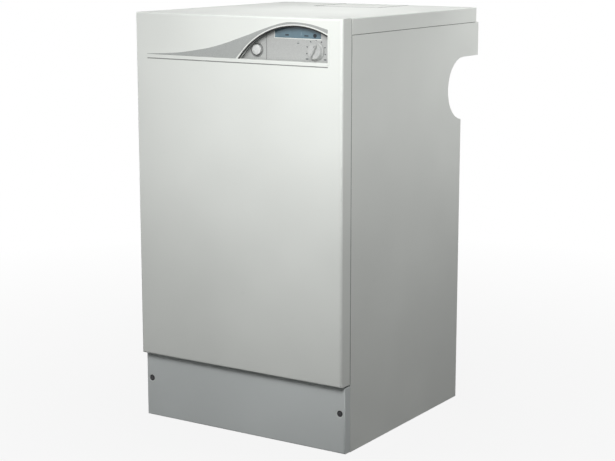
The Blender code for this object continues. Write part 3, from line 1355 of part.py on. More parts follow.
def make_gas_train(y):
    x, z = GAS_VALVE_OFFSET, FAN_HEIGHT
    half = Vector((GAS_VALVE_WIDTH, GAS_VALVE_DEPTH, GAS_VALVE_HEIGHT)) / 2
    centre = Vector((x, y, z))
    valve = box("gas_valve", centre - half, centre + half, CAST_METAL)
    top, bottom = z + half.z, z - half.z
    for side in (-1, 1):
        start = (x, y + side * GAS_VALVE_DEPTH / 4, top - VALVE_FLANGE)
        join(valve, cylinder("solenoid", SOLENOID_RADIUS, start, SOLENOID_HEIGHT + VALVE_FLANGE, ALONG_Z))
    foot = bottom - VALVE_FLANGE
    join(valve, cylinder("valve_inlet", VALVE_FLANGE_RADIUS, (x, y, foot), 2 * VALVE_FLANGE, ALONG_Z, sides=6))

    cock_start = at_depth(COCK_START)
    corner = (x, y, GAS_PIPE_HEIGHT)
    points = [Vector((x, y, foot - FIT_GAP))]
    points += bend(corner, (0, 0, -1), (0, 1, 0), GAS_BEND)
    points += [Vector((x, cock_start - FIT_GAP, GAS_PIPE_HEIGHT))]
    tube("gas_supply_pipe", points, GAS_RADIUS, COPPER)

    middle = cock_start + COCK_LENGTH / 2
    body = cylinder("gas_cock", COCK_RADIUS, (x, cock_start, GAS_PIPE_HEIGHT), COCK_LENGTH, ALONG_Y, BRASS, sides=8)
    neck_top = GAS_PIPE_HEIGHT + COCK_NECK_HEIGHT
    join(body, cylinder("cock_neck", COCK_NECK_RADIUS, (x, middle, GAS_PIPE_HEIGHT), COCK_NECK_HEIGHT, ALONG_Z))
    stem_bore = LEVER_STEM_RADIUS + LEVER_STEM_CLEARANCE
    bore_start = (x, middle, neck_top - LEVER_STEM_DEPTH - LEVER_STEM_CLEARANCE)
    cut(body, cylinder("stem_hole", stem_bore, bore_start, LEVER_STEM_DEPTH + OVERRUN, ALONG_Z))
    axis_point = (x, middle, neck_top + FIT_GAP)
    profile = [
        (0, -LEVER_STEM_DEPTH),
        (LEVER_STEM_RADIUS, -LEVER_STEM_DEPTH),
        (LEVER_STEM_RADIUS, 0),
        (LEVER_HUB_RADIUS, 0),
        (LEVER_HUB_RADIUS, LEVER_THICKNESS),
        (0, LEVER_THICKNESS),
    ]
    lever = turned("gas_cock_lever", profile, axis_point, ALONG_Z, YELLOW_PAINT)
    low = (x - LEVER_WIDTH / 2, middle - LEVER_LENGTH, axis_point[2])
    join(lever, box("lever_bar", low, (x + LEVER_WIDTH / 2, middle, axis_point[2] + LEVER_THICKNESS)))

    start = cock_start + COCK_LENGTH + FIT_GAP
    length = at_depth(STUB_END_DEPTH) - start
    union = GAS_RADIUS + VALVE_FLANGE / 2
    place_at = (x, start, GAS_PIPE_HEIGHT)
    straight_pipe("gas_inlet_pipe", place_at, length, GAS_RADIUS, PIPE_WALL, ALONG_Y, COPPER, union, UNION_LENGTH)


def make_ports():
    face = at_depth(EXCHANGER_START) - FIT_GAP
    profile = [
        (PORT_RADIUS, 0),
        (SIGHT_RADIUS, 0),
        (SIGHT_RADIUS, -SIGHT_LENGTH),
        (SIGHT_RADIUS / 2, -SIGHT_LENGTH),
        (PORT_RADIUS, -SIGHT_LENGTH / 2),
        (0, -SIGHT_LENGTH / 2),
        (0, -SIGHT_LENGTH / 4),
        (PORT_RADIUS, -SIGHT_LENGTH / 4),
    ]
    turned("sight_glass", profile, (0, face, PORT_HEIGHT), ALONG_Y, GLASS)
    inside = CHAMBER_WALL + ELECTRODE_INSIDE
    profile = [
        (0, -ELECTRODE_OUTSIDE),
        (ELECTRODE_RADIUS, -ELECTRODE_OUTSIDE),
        (ELECTRODE_RADIUS, -ELECTRODE_COLLAR_LENGTH),
        (ELECTRODE_COLLAR, -ELECTRODE_COLLAR_LENGTH),
        (ELECTRODE_COLLAR, 0),
        (ELECTRODE_RADIUS, 0),
        (ELECTRODE_RADIUS, inside),
        (ELECTRODE_TIP, inside),
        (ELECTRODE_TIP, inside + ELECTRODE_TIP_LENGTH),
        (0, inside + ELECTRODE_TIP_LENGTH),
    ]
    for name, x in (("ignition_electrode", ELECTRODE_PITCH), ("sensing_electrode", 2 * ELECTRODE_PITCH)):
        turned(name, profile, (x, face, PORT_HEIGHT), ALONG_Y, CERAMIC, sides=SMALL_SIDES)
    profile = [
        (0, -THERMISTOR_LENGTH),
        (THERMISTOR_RADIUS - PORT_RADIUS / 2, -THERMISTOR_LENGTH),
        (THERMISTOR_RADIUS, -THERMISTOR_LENGTH / 2),
        (THERMISTOR_RADIUS, 0),
        (PORT_RADIUS, 0),
        (PORT_RADIUS, THERMISTOR_POCKET),
        (0, THERMISTOR_POCKET),
    ]
    turned("flow_thermistor", profile, (-THERMISTOR_OFFSET, face, PORT_HEIGHT), ALONG_Y, BRASS, sides=SMALL_SIDES)

    plate_top = EXCHANGER_TOP + 2 * FIT_GAP + BURNER_PLATE
    low = (SPARK_OFFSET - SPARK_WIDTH / 2, at_depth(EXCHANGER_START), plate_top)
    high = (SPARK_OFFSET + SPARK_WIDTH / 2, low[1] + SPARK_DEPTH, plate_top + SPARK_HEIGHT)
    box("spark_generator", low, high, BLACK_PLASTIC, bevel=PIPE_WALL, segments=1)
    electrode_end = face - ELECTRODE_OUTSIDE
    terminal_height = plate_top + SPARK_HEIGHT / 2
    middle_x, middle_z = (ELECTRODE_PITCH + SPARK_OFFSET) / 2, (PORT_HEIGHT + terminal_height) / 2
    route = [
        (ELECTRODE_PITCH, electrode_end - FIT_GAP, PORT_HEIGHT),
        (ELECTRODE_PITCH, electrode_end - LEAD_BOOT, PORT_HEIGHT),
        (middle_x, electrode_end - 2 * LEAD_BOOT, middle_z),
        (SPARK_OFFSET, electrode_end, terminal_height),
        (SPARK_OFFSET, low[1] - LEAD_BOOT, terminal_height),
        (SPARK_OFFSET, low[1] - FIT_GAP, terminal_height),
    ]
    line = [route[0]] + smooth_line(route[1:-1], 4) + [route[-1]]
    tube("ignition_lead", line, LEAD_RADIUS, BLACK_PLASTIC, resolution=2)


def make_sump():
    top = EXCHANGER_BOTTOM - FIT_GAP
    bottom = top - SUMP_HEIGHT
    wide = exchanger_outline(-2 * FIT_GAP)
    centre = Vector((0, at_depth(EXCHANGER_START + EXCHANGER_DEPTH / 2)))

    def shrunk(points, share):
        return [tuple(centre + (Vector(point) - centre) * share) for point in points]

    sump = stacked("flue_sump", [(bottom, shrunk(wide, SUMP_FOOT_SHARE)), (top, wide)], GREY_PLASTIC)
    half = SUMP_OUTLET_WIDTH / 2
    outlet_end = at_depth(RISER_START) - FIT_GAP
    outlet_top = SUMP_OUTLET_BOTTOM + SUMP_OUTLET_HEIGHT
    neck = box("sump_neck", (-half, centre.y, SUMP_OUTLET_BOTTOM), (half, outlet_end, outlet_top))
    inner = exchanger_outline(-SUMP_WALL)
    hollow = stacked(
        "sump_hollow",
        [(bottom + SUMP_WALL, shrunk(inner, SUMP_FOOT_SHARE)), (top + OVERRUN, inner)],
    )
    passage = box(
        "sump_passage",
        (-half + SUMP_WALL, centre.y, SUMP_OUTLET_BOTTOM + SUMP_WALL),
        (half - SUMP_WALL, outlet_end + OVERRUN, outlet_top - SUMP_WALL),
    )
    cut(join(sump, neck), hollow, passage)

    trap_top = bottom - FIT_GAP
    profile = [
        (0, -TRAP_HEIGHT),
        (TRAP_RADIUS - TRAP_NECK, -TRAP_HEIGHT),
        (TRAP_RADIUS, -TRAP_HEIGHT + TRAP_NECK),
        (TRAP_RADIUS, -TRAP_NECK - TRAP_CAP),
        (TRAP_CAP_RADIUS, -TRAP_NECK - TRAP_CAP),
        (TRAP_CAP_RADIUS, -TRAP_NECK),
        (TRAP_NECK_RADIUS, -TRAP_NECK),
        (TRAP_NECK_RADIUS, 0),
        (0, 0),
    ]
    y = at_depth(TRAP_DEPTH)
    trap = turned("condensate_trap", profile, (TRAP_OFFSET, y, trap_top), ALONG_Z, WHITE_PLASTIC)
    reach = TRAP_CAP_RADIUS + TRAP_OUTLET_REACH
    join(trap, cylinder("trap_outlet", TRAP_OUTLET_RADIUS, (TRAP_OFFSET, y, TRAP_OUTLET_HEIGHT), reach, ALONG_Y))
    start = (TRAP_OFFSET, y + reach + FIT_GAP, TRAP_OUTLET_HEIGHT)
    length = at_depth(STUB_END_DEPTH) - start[1]
    straight_pipe("condensate_pipe", start, length, CONDENSATE_RADIUS, CONDENSATE_WALL, ALONG_Y, WHITE_PLASTIC)


def make_flue():
    half = RISER_WIDTH / 2
    front, rear = at_depth(RISER_START), at_depth(RISER_START + RISER_DEPTH)
    outline = rounded_outline((-half, front), (half, rear), RISER_CORNER)
    riser = stacked("flue_riser", [(RISER_BOTTOM, outline), (RISER_TOP, outline)], STAINLESS)
    wall = RISER_WALL
    inner = rounded_outline((-half + wall, front + wall), (half - wall, rear - wall), RISER_CORNER - wall)
    hollow = stacked("riser_hollow", [(RISER_BOTTOM + wall, inner), (RISER_TOP - wall, inner)])
    collar_face = at_depth(BACK_PANEL_DEPTH) + SHEET + FIT_GAP
    end = collar_face + COLLAR_REACH
    spigot_start = (0, rear - wall / 2, FLUE_HEIGHT)
    spigot = cylinder("flue_spigot", FLUE_INNER_RADIUS, spigot_start, end - spigot_start[1], ALONG_Y, sides=32)
    bore_start = (0, rear - wall - OVERRUN, FLUE_HEIGHT)
    bore_length = end + OVERRUN - bore_start[1]
    bore = cylinder("flue_bore", FLUE_INNER_RADIUS - wall, bore_start, bore_length, ALONG_Y, sides=32)
    neck_half = SUMP_OUTLET_WIDTH / 2 - SUMP_WALL
    port = box(
        "riser_port",
        (-neck_half, front - OVERRUN, SUMP_OUTLET_BOTTOM + SUMP_WALL),
        (neck_half, front + wall + OVERRUN, SUMP_OUTLET_BOTTOM + SUMP_OUTLET_HEIGHT - SUMP_WALL),
    )
    cut(join(riser, spigot), hollow, bore, port)

    profile = [
        (FLUE_OUTER_RADIUS - COLLAR_WALL, 0),
        (FLUE_OUTER_RADIUS - COLLAR_WALL, COLLAR_REACH),
        (FLUE_OUTER_RADIUS, COLLAR_REACH),
        (FLUE_OUTER_RADIUS, COLLAR_FLANGE),
        (FLUE_OUTER_RADIUS + COLLAR_FLANGE_PROUD, COLLAR_FLANGE),
        (FLUE_OUTER_RADIUS + COLLAR_FLANGE_PROUD, 0),
    ]
    turned("flue_collar", profile, (0, collar_face, FLUE_HEIGHT), ALONG_Y, CAST_METAL, sides=40)


def make_water_pipes():
    start = at_depth(EXCHANGER_START + EXCHANGER_DEPTH) + EXCHANGER_FLANGE_PROUD + FIT_GAP
    length = at_depth(STUB_END_DEPTH) - start
    for name, x, z in (("flow_pipe", -WATER_OFFSET, FLOW_HEIGHT), ("return_pipe", WATER_OFFSET, RETURN_HEIGHT)):
        place_at = (x, start, z)
        straight_pipe(name, place_at, length, WATER_RADIUS, WATER_WALL, ALONG_Y, COPPER, UNION_RADIUS, UNION_LENGTH)

    face = at_depth(EXCHANGER_START) - EXCHANGER_FLANGE_PROUD - FIT_GAP
    z = EXCHANGER_BOTTOM + EXCHANGER_FLANGE / 2
    depth = DRAIN_SPINDLE_LENGTH + FIT_GAP
    profile = [
        (0, 0),
        (DRAIN_HEX_RADIUS, 0),
        (DRAIN_HEX_RADIUS, -DRAIN_HEX_LENGTH),
        (DRAIN_RADIUS, -DRAIN_HEX_LENGTH),
        (DRAIN_RADIUS, -DRAIN_LENGTH),
        (DRAIN_BORE, -DRAIN_LENGTH),
        (DRAIN_BORE, -DRAIN_LENGTH + depth),
        (0, -DRAIN_LENGTH + depth),
    ]
    turned("drain_cock", profile, (DRAIN_OFFSET, face, z), ALONG_Y, BRASS, sides=SMALL_SIDES)
    front = face - DRAIN_LENGTH - FIT_GAP
    profile = [
        (0, -DRAIN_HANDLE_LENGTH),
        (DRAIN_HANDLE_RADIUS, -DRAIN_HANDLE_LENGTH),
        (DRAIN_HANDLE_RADIUS, 0),
        (DRAIN_SPINDLE_RADIUS, 0),
        (DRAIN_SPINDLE_RADIUS, DRAIN_SPINDLE_LENGTH),
        (0, DRAIN_SPINDLE_LENGTH),
    ]
    spindle = turned("drain_cock_spindle", profile, (DRAIN_OFFSET, front, z), ALONG_Y, BRASS, sides=SMALL_SIDES)
    flat = DRAIN_HANDLE_RADIUS / 3
    for side in (-1, 1):
        x = DRAIN_OFFSET
        low = (x + min(side * flat, side * DRAIN_HANDLE_RADIUS * 2), front - OVERRUN * 2, z - 2 * DRAIN_HANDLE_RADIUS)
        high = (
            x + max(side * flat, side * DRAIN_HANDLE_RADIUS * 2),
            front - DRAIN_HANDLE_LENGTH / 3,
            z + 2 * DRAIN_HANDLE_RADIUS,
        )
        cut(spindle, box("spindle_flat", low, high))


def main():
    for obj in list(bpy.data.objects):
        bpy.data.objects.remove(obj)
    bpy.context.scene.collection.children.link(parts)
    bpy.context.scene.collection.children.link(cutters)
    cutters.hide_render = True
    make_side_panel("side_panel_left", -1)
    make_side_panel("side_panel_right", 1)
    make_lid()
    make_door()
    make_door_catch("door_catch_left", -1)
    make_door_catch("door_catch_right", 1)
    make_door_trim()
    make_fascia()
    make_thermostat()
    make_push_button()
    make_plinth()
    make_base_tray()
    make_feet()
    make_back_panel()
    make_cable_gland()
    make_rails()
    make_control_box()
    make_heat_exchanger()
    make_exchanger_stand()
    make_burner()
    make_fan()
    make_venturi()
    make_ports()
    make_sump()
    make_flue()
    make_water_pipes()


main()
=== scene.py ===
"""Looks for a floor standing gas boiler, laid out as an add-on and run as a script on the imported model."""

import json
from functools import cache
from math import acos, asin, cos, pi, radians, sin, tau

import bmesh
import bpy
from bpy.props import FloatProperty, FloatVectorProperty, IntProperty, PointerProperty
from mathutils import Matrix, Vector


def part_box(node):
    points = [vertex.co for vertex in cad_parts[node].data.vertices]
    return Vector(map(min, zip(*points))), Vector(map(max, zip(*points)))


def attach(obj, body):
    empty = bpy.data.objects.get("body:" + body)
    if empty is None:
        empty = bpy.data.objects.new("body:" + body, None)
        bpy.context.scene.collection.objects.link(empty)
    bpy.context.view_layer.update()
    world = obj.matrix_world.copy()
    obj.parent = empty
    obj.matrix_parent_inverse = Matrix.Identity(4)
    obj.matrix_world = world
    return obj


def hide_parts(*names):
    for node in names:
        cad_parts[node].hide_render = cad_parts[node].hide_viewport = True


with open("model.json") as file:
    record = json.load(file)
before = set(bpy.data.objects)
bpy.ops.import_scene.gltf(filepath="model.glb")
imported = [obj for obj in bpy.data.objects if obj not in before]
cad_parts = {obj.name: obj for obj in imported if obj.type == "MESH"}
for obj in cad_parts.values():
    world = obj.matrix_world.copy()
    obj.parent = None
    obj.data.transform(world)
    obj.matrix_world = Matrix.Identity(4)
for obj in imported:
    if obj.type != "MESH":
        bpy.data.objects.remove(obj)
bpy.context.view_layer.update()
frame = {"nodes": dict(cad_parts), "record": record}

bl_info = {
    "name": "Floor Standing Boiler",
    "version": (1, 0, 0),
    "blender": (4, 5, 0),
    "location": "View3D > Sidebar > Boiler",
    "description": "Panels, controls, works and stage of a floor standing gas boiler",
    "category": "Object",
}

CABINET = "cabinet"
HALF_WIDTH = 0.245
FORWARD = Vector((0, -1, 0))

# Arch and opening of the door, in metres, as the solids have them
ARCH_RADIUS, ARCH_RIM = 0.1655, 0.1695
ARCH_X, ARCH_Z = 0.386 - HALF_WIDTH, 0.835 - ARCH_RADIUS
ARCH_FOOT = 0.767
OPENING_RIGHT = 0.458 - HALF_WIDTH

# Smallest gap or overlap, thickness of a printed mark, and a pad's distance from its panel's face
CLEAR = 0.0001
PRINT = 0.00012
PAD_BACK = 0.0014

# Stage
SENSOR_WIDTH = 36
HIDDEN_FROM_GLOSS = ("key lamp", "rear lamp")


def shade(colour, share, lift=0.0):
    """A colour made lighter or darker by share, no part of it past white."""
    return tuple(min(1, part * share + lift) for part in colour)


class Tree:
    """A material's node tree, with short calls for the nodes that the finishes share."""

    def __init__(self, name):
        self.material = bpy.data.materials.new(name)
        self.material.use_nodes = True
        self.nodes = self.material.node_tree.nodes
        self.links = self.material.node_tree.links
        self.shader = self.nodes["Principled BSDF"]
        self.place = self.nodes.new("ShaderNodeTexCoord").outputs["Object"]

    def link(self, source, target):
        self.links.new(source, target)

    def add(self, kind, **values):
        node = self.nodes.new(kind)
        for key, value in values.items():
            name = key.replace("_", " ").title()
            if name in node.inputs:
                node.inputs[name].default_value = value
            else:
                setattr(node, key, value)
        return node

    def stretched(self, scale):
        node = self.nodes.new("ShaderNodeMapping")
        node.inputs["Scale"].default_value = scale
        self.link(self.place, node.inputs["Vector"])
        return node.outputs["Vector"]

    def noise(self, scale, detail=3, roughness=0.5, place=None):
        node = self.add("ShaderNodeTexNoise", scale=scale, detail=detail, roughness=roughness)
        self.link(place or self.place, node.inputs["Vector"])
        return node.outputs["Fac"]

    def cells(self, scale, output="Distance"):
        node = self.add("ShaderNodeTexVoronoi", scale=scale)
        self.link(self.place, node.inputs["Vector"])
        return node.outputs[output]

    def spread(self, value, low, high, to_low=0, to_high=1):
        """Stretches the part of value between low and high over another range."""
        node = self.nodes.new("ShaderNodeMapRange")
        limits = {"From Min": low, "From Max": high, "To Min": to_low, "To Max": to_high}
        for name, number in limits.items():
            node.inputs[name].default_value = number
        self.link(value, node.inputs["Value"])
        return node.outputs["Result"]

    def mixed(self, factor, first, second):
        node = self.nodes.new("ShaderNodeMix")
        node.data_type = "RGBA"
        if hasattr(factor, "is_output"):
            self.link(factor, node.inputs["Factor"])
        else:
            node.inputs["Factor"].default_value = factor
        for socket, colour in ((node.inputs[6], first), (node.inputs[7], second)):
            if hasattr(colour, "is_output"):
                self.link(colour, socket)
            else:
                socket.default_value = (*colour, 1)
        return node.outputs[2]

    def split_cells(self, scale):
        """Two random shares for each cell of the pattern: one for its colour, one for its gloss."""
        node = self.nodes.new("ShaderNodeSeparateColor")
        self.link(self.cells(scale, output="Color"), node.inputs["Color"])
        return node.outputs[0], node.outputs[1]

    def plain(self, **values):
        """Values that are the same all over the surface, set on the shader's own sockets."""
        for key, value in values.items():
            socket = key.replace("_", " ").title().replace("Ior", "IOR")
            self.shader.inputs[socket].default_value = value

    def colour(self, value):
        if hasattr(value, "is_output"):
            self.link(value, self.shader.inputs["Base Color"])
        else:
            self.shader.inputs["Base Color"].default_value = (*value, 1)

    def rough(self, value):
        self.link(value, self.shader.inputs["Roughness"])

    def relief(self, *layers, edge=0.0):
        """Bumps of (height, metres deep) on top of each other, over edges eased by the radius edge."""
        normal = None
        if edge:
            eased = self.add("ShaderNodeBevel", radius=edge)
            eased.samples = 6
            normal = eased.outputs["Normal"]
        for height, depth in layers:
            bump = self.add("ShaderNodeBump", distance=depth)
            self.link(height, bump.inputs["Height"])
            if normal:
                self.link(normal, bump.inputs["Normal"])
            normal = bump.outputs["Normal"]
        if normal:
            self.link(normal, self.shader.inputs["Normal"])


def powder_coat(name, colour, gloss=0.48):
    """Stoved powder paint on sheet steel: slight orange peel, faint clouding and specks of dust."""
    tree = Tree(name)
    cloud = tree.noise(3.5, detail=2)
    peel = tree.noise(420, detail=2)
    dust = tree.noise(55, detail=6, roughness=0.7)
    clouded = tree.spread(cloud, 0.35, 0.65)
    base = tree.mixed(clouded, shade(colour, 0.955), shade(colour, 1.02))
    speck = tree.spread(dust, 0.62, 0.8, 0, 0.16)
    tree.colour(tree.mixed(speck, base, shade(colour, 0.8)))
    tree.rough(tree.spread(dust, 0.3, 0.7, gloss - 0.05, gloss + 0.09))
    tree.relief((peel, 0.00009), (dust, 0.00002), edge=0.0007)
    tree.plain(specular_ior_level=0.28)
    return tree.material


def silver_lacquer(name, colour, metallic=0.35, gloss=0.34):
    """Moulded plastic under a silver lacquer: fine flake, slightly metallic, with a soft sheen."""
    tree = Tree(name)
    tint, sheen = tree.split_cells(2600)
    tree.colour(tree.mixed(tint, shade(colour, 0.84), shade(colour, 1.2)))
    tree.rough(tree.spread(sheen, 0, 1, gloss, gloss + 0.16))
    tree.relief((tree.noise(900), 0.00003), edge=0.0004)
    tree.plain(metallic=metallic)
    return tree.material


def moulded(name, colour, gloss=0.45, grain=700, depth=0.00004):
    """Injection moulded plastic with a fine spark-eroded grain and a little handling shine."""
    tree = Tree(name)
    pits = tree.cells(grain)
    handled = tree.noise(18, detail=4)
    worn = tree.spread(handled, 0.4, 0.7)
    tree.colour(tree.mixed(worn, colour, shade(colour, 1.08, 0.004)))
    tree.rough(tree.spread(handled, 0.3, 0.7, gloss + 0.06, gloss - 0.06))
    tree.relief((pits, depth), edge=0.0005)
    return tree.material


def galvanised(name, colour):
    """Zinc coated sheet: spangles of slightly different grey, faint rolling lines and dull patches."""
    tree = Tree(name)
    warp = tree.noise(30, detail=4)
    tint, sheen = tree.split_cells(120)
    rolled = tree.noise(1, detail=5, place=tree.stretched((6, 6, 320)))
    spangle = tree.mixed(tint, shade(colour, 0.93), shade(colour, 1.07))
    white_rust = tree.spread(warp, 0.5, 0.75, 0, 0.22)
    tree.colour(tree.mixed(white_rust, spangle, (0.43, 0.43, 0.42)))
    tree.rough(tree.spread(sheen, 0, 1, 0.3, 0.5))
    tree.relief((rolled, 0.000025), (warp, 0.00005), edge=0.0006)
    tree.plain(metallic=0.9)
    return tree.material


def sand_casting(name, colour):
    """Cast light alloy: grainy skin from the mould, darker in its hollows, with shiny rubbed high spots."""
    tree = Tree(name)
    grit = tree.noise(520, detail=7, roughness=0.65)
    skin = tree.noise(60, detail=5)
    rubbed = tree.spread(grit, 0.35, 0.65)
    tree.colour(tree.mixed(rubbed, shade(colour, 0.72), shade(colour, 1.22)))
    tree.rough(tree.spread(skin, 0.3, 0.7, 0.46, 0.68))
    tree.relief((skin, 0.0003), (grit, 0.00022), edge=0.0009)
    tree.plain(metallic=0.75)
    return tree.material


def drawn_metal(name, colour, tarnish, gloss=0.3, along=(500, 500, 8)):
    """Drawn or turned metal: fine lines along the work and uneven tarnish."""
    tree = Tree(name)
    lines = tree.noise(1, detail=6, roughness=0.7, place=tree.stretched(along))
    stain = tree.noise(22, detail=6, roughness=0.6)
    stained = tree.spread(stain, 0.42, 0.72, 0, 0.85)
    tree.colour(tree.mixed(stained, colour, tarnish))
    tree.rough(tree.spread(lines, 0.3, 0.7, gloss - 0.07, gloss + 0.14))
    tree.relief((lines, 0.00002), (stain, 0.00003), edge=0.0004)
    tree.plain(metallic=1.0)
    return tree.material


def glazed_ceramic(name, colour):
    """Glazed insulator: glossy, with faint iron specks under the glaze."""
    tree = Tree(name)
    speck = tree.spread(tree.noise(900, detail=2), 0.68, 0.74, 0, 0.7)
    tree.colour(tree.mixed(speck, colour, (0.45, 0.38, 0.3)))
    tree.rough(tree.spread(tree.noise(40), 0.3, 0.7, 0.12, 0.24))
    tree.relief((tree.noise(160), 0.00003), edge=0.0004)
    tree.plain(coat_weight=0.6, coat_roughness=0.08)
    return tree.material


def furnace_glass(name, colour):
    """Thick heat resisting glass with a smoky tint."""
    tree = Tree(name)
    smoke = tree.noise(120, detail=4)
    smoked = tree.spread(smoke, 0.4, 0.7)
    tree.colour(tree.mixed(smoked, colour, shade(colour, 0.6)))
    tree.rough(tree.spread(smoke, 0.3, 0.7, 0.05, 0.16))
    tree.relief((smoke, 0.00002), edge=0.0003)
    tree.plain(transmission_weight=0.55, ior=1.47)
    return tree.material


def board_lacquer(name, colour):
    """Green solder lacquer over copper tracks, which show as slightly raised paler lines."""
    tree = Tree(name)
    tracks = tree.add("ShaderNodeTexBrick", scale=90, mortar_size=0.06, mortar_smooth=0.2)
    tracks.offset = 0.37
    tracks.squash = 1.6
    tree.link(tree.place, tracks.inputs["Vector"])
    tint = tree.noise(35, detail=4)
    base = tree.mixed(tree.spread(tint, 0.3, 0.7, 0, 0.5), colour, shade(colour, 0.7))
    tree.colour(tree.mixed(tracks.outputs["Fac"], base, shade(colour, 1.9, 0.02)))
    tree.rough(tree.spread(tint, 0.3, 0.7, 0.22, 0.34))
    tree.relief((tracks.outputs["Fac"], 0.00005), edge=0.0003)
    tree.plain(coat_weight=0.3, coat_roughness=0.15)
    return tree.material


def tinted_lens(name, colour):
    """Acrylic window over an unlit display: a faint field of dots behind a glossy blue-grey face."""
    tree = Tree(name)
    haze = tree.noise(25, detail=3)
    dots = tree.cells(1500)
    deep = shade(colour, 0.8)
    base = tree.mixed(tree.spread(haze, 0.3, 0.7), deep, shade(colour, 1.15))
    tree.colour(tree.mixed(tree.spread(dots, 0.5, 0.8, 0, 0.15), base, deep))
    tree.rough(tree.spread(haze, 0.3, 0.7, 0.16, 0.28))
    tree.relief((haze, 0.00001), edge=0.0003)
    tree.plain(coat_weight=0.4, coat_roughness=0.1)
    return tree.material


def ink(name, colour):
    """Pad printed ink: thin, matt, a little uneven."""
    tree = Tree(name)
    uneven = tree.noise(1800, detail=3)
    thin = tree.spread(uneven, 0.3, 0.75)
    tree.colour(tree.mixed(thin, colour, shade(colour, 1.5, 0.01)))
    tree.rough(tree.spread(uneven, 0.3, 0.7, 0.5, 0.7))
    return tree.material


class BoilerColours(bpy.types.PropertyGroup):
    """Colours of the finishes."""

    paint: FloatVectorProperty(
        name="Panel paint", description="Stoved paint on the sides, lid and door",
        subtype="COLOR", default=(0.789, 0.812, 0.779), min=0, max=1,
    )
    plinth: FloatVectorProperty(
        name="Plinth paint", description="Greyer paint on the plinth",
        subtype="COLOR", default=(0.694, 0.73, 0.724), min=0, max=1,
    )
    silver: FloatVectorProperty(
        name="Silver lacquer", description="Fascia, knob, ring and sweep",
        subtype="COLOR", default=(0.465, 0.475, 0.465), min=0, max=1,
    )
    lens: FloatVectorProperty(
        name="Display lens", description="Window over the unlit display",
        subtype="COLOR", default=(0.108, 0.174, 0.21), min=0, max=1,
    )
    zinc: FloatVectorProperty(
        name="Zinc", description="Coated sheet inside the cabinet",
        subtype="COLOR", default=(0.55, 0.56, 0.57), min=0, max=1,
    )
    casting: FloatVectorProperty(
        name="Casting", description="Light alloy castings",
        subtype="COLOR", default=(0.4, 0.41, 0.42), min=0, max=1,
    )
    copper: FloatVectorProperty(
        name="Copper", description="Water and gas pipes",
        subtype="COLOR", default=(0.78, 0.39, 0.24), min=0, max=1,
    )


class BoilerStage(bpy.types.PropertyGroup):
    """Camera and lamps."""

    camera: FloatVectorProperty(
        name="Camera place", description="Where the camera stands",
        subtype="TRANSLATION", unit="LENGTH", default=(1.7475, -2.7388, 1.0092),
    )
    turn: FloatProperty(
        name="Camera turn", description="Turn about the upright axis", subtype="ANGLE", default=0.571,
    )
    tilt: FloatProperty(
        name="Camera tilt", description="Downward tilt", subtype="ANGLE", default=0.191,
    )
    lens: FloatProperty(
        name="Lens", description="Focal length on a 36 mm sensor, in millimetres", default=90.54, min=10,
    )
    key: FloatProperty(
        name="Key lamp", description="Power of the large lamp above the front right, in watts",
        default=5.65, min=0,
    )
    fill: FloatProperty(
        name="Fill lamp", description="Power of the weaker lamp at the left, in watts", default=2.8, min=0,
    )
    top: FloatProperty(
        name="Top lamp", description="Power of the lamp over the lid, in watts", default=0.74, min=0,
    )
    left: FloatProperty(
        name="Left lamp", description="Power of the lamp beyond the left side, in watts",
        default=1.5, min=0,
    )
    rear: FloatProperty(
        name="Rear lamp", description="Power of the small lamp beyond the right side and the back, in watts",
        default=2.4, min=0,
    )
    sky: FloatProperty(
        name="Room light", description="Strength of the even light from all round", default=0.034, min=0,
    )


class BoilerSizes(bpy.types.PropertyGroup):
    """Sizes of the pieces that this script makes."""

    screw_radius: FloatProperty(
        name="Screw head", description="Radius of a sheet metal screw's head",
        subtype="DISTANCE", unit="LENGTH", default=0.0036, min=0.001,
    )
    screw_height: FloatProperty(
        name="Screw head height", description="Height of a sheet metal screw's head",
        subtype="DISTANCE", unit="LENGTH", default=0.0016, min=0.0003,
    )
    mark_length: FloatProperty(
        name="Dial mark", description="Length of a mark on the thermostat dial",
        subtype="DISTANCE", unit="LENGTH", default=0.0032, min=0.0005,
    )
    mark_width: FloatProperty(
        name="Dial mark width", description="Width of a mark on the thermostat dial",
        subtype="DISTANCE", unit="LENGTH", default=0.0018, min=0.0002,
    )
    knurls: IntProperty(
        name="Knob ribs", description="Ribs round the thermostat knob", default=36, min=3,
    )


def colours():
    return bpy.context.scene.boiler_colours


def sizes():
    return bpy.context.scene.boiler_sizes


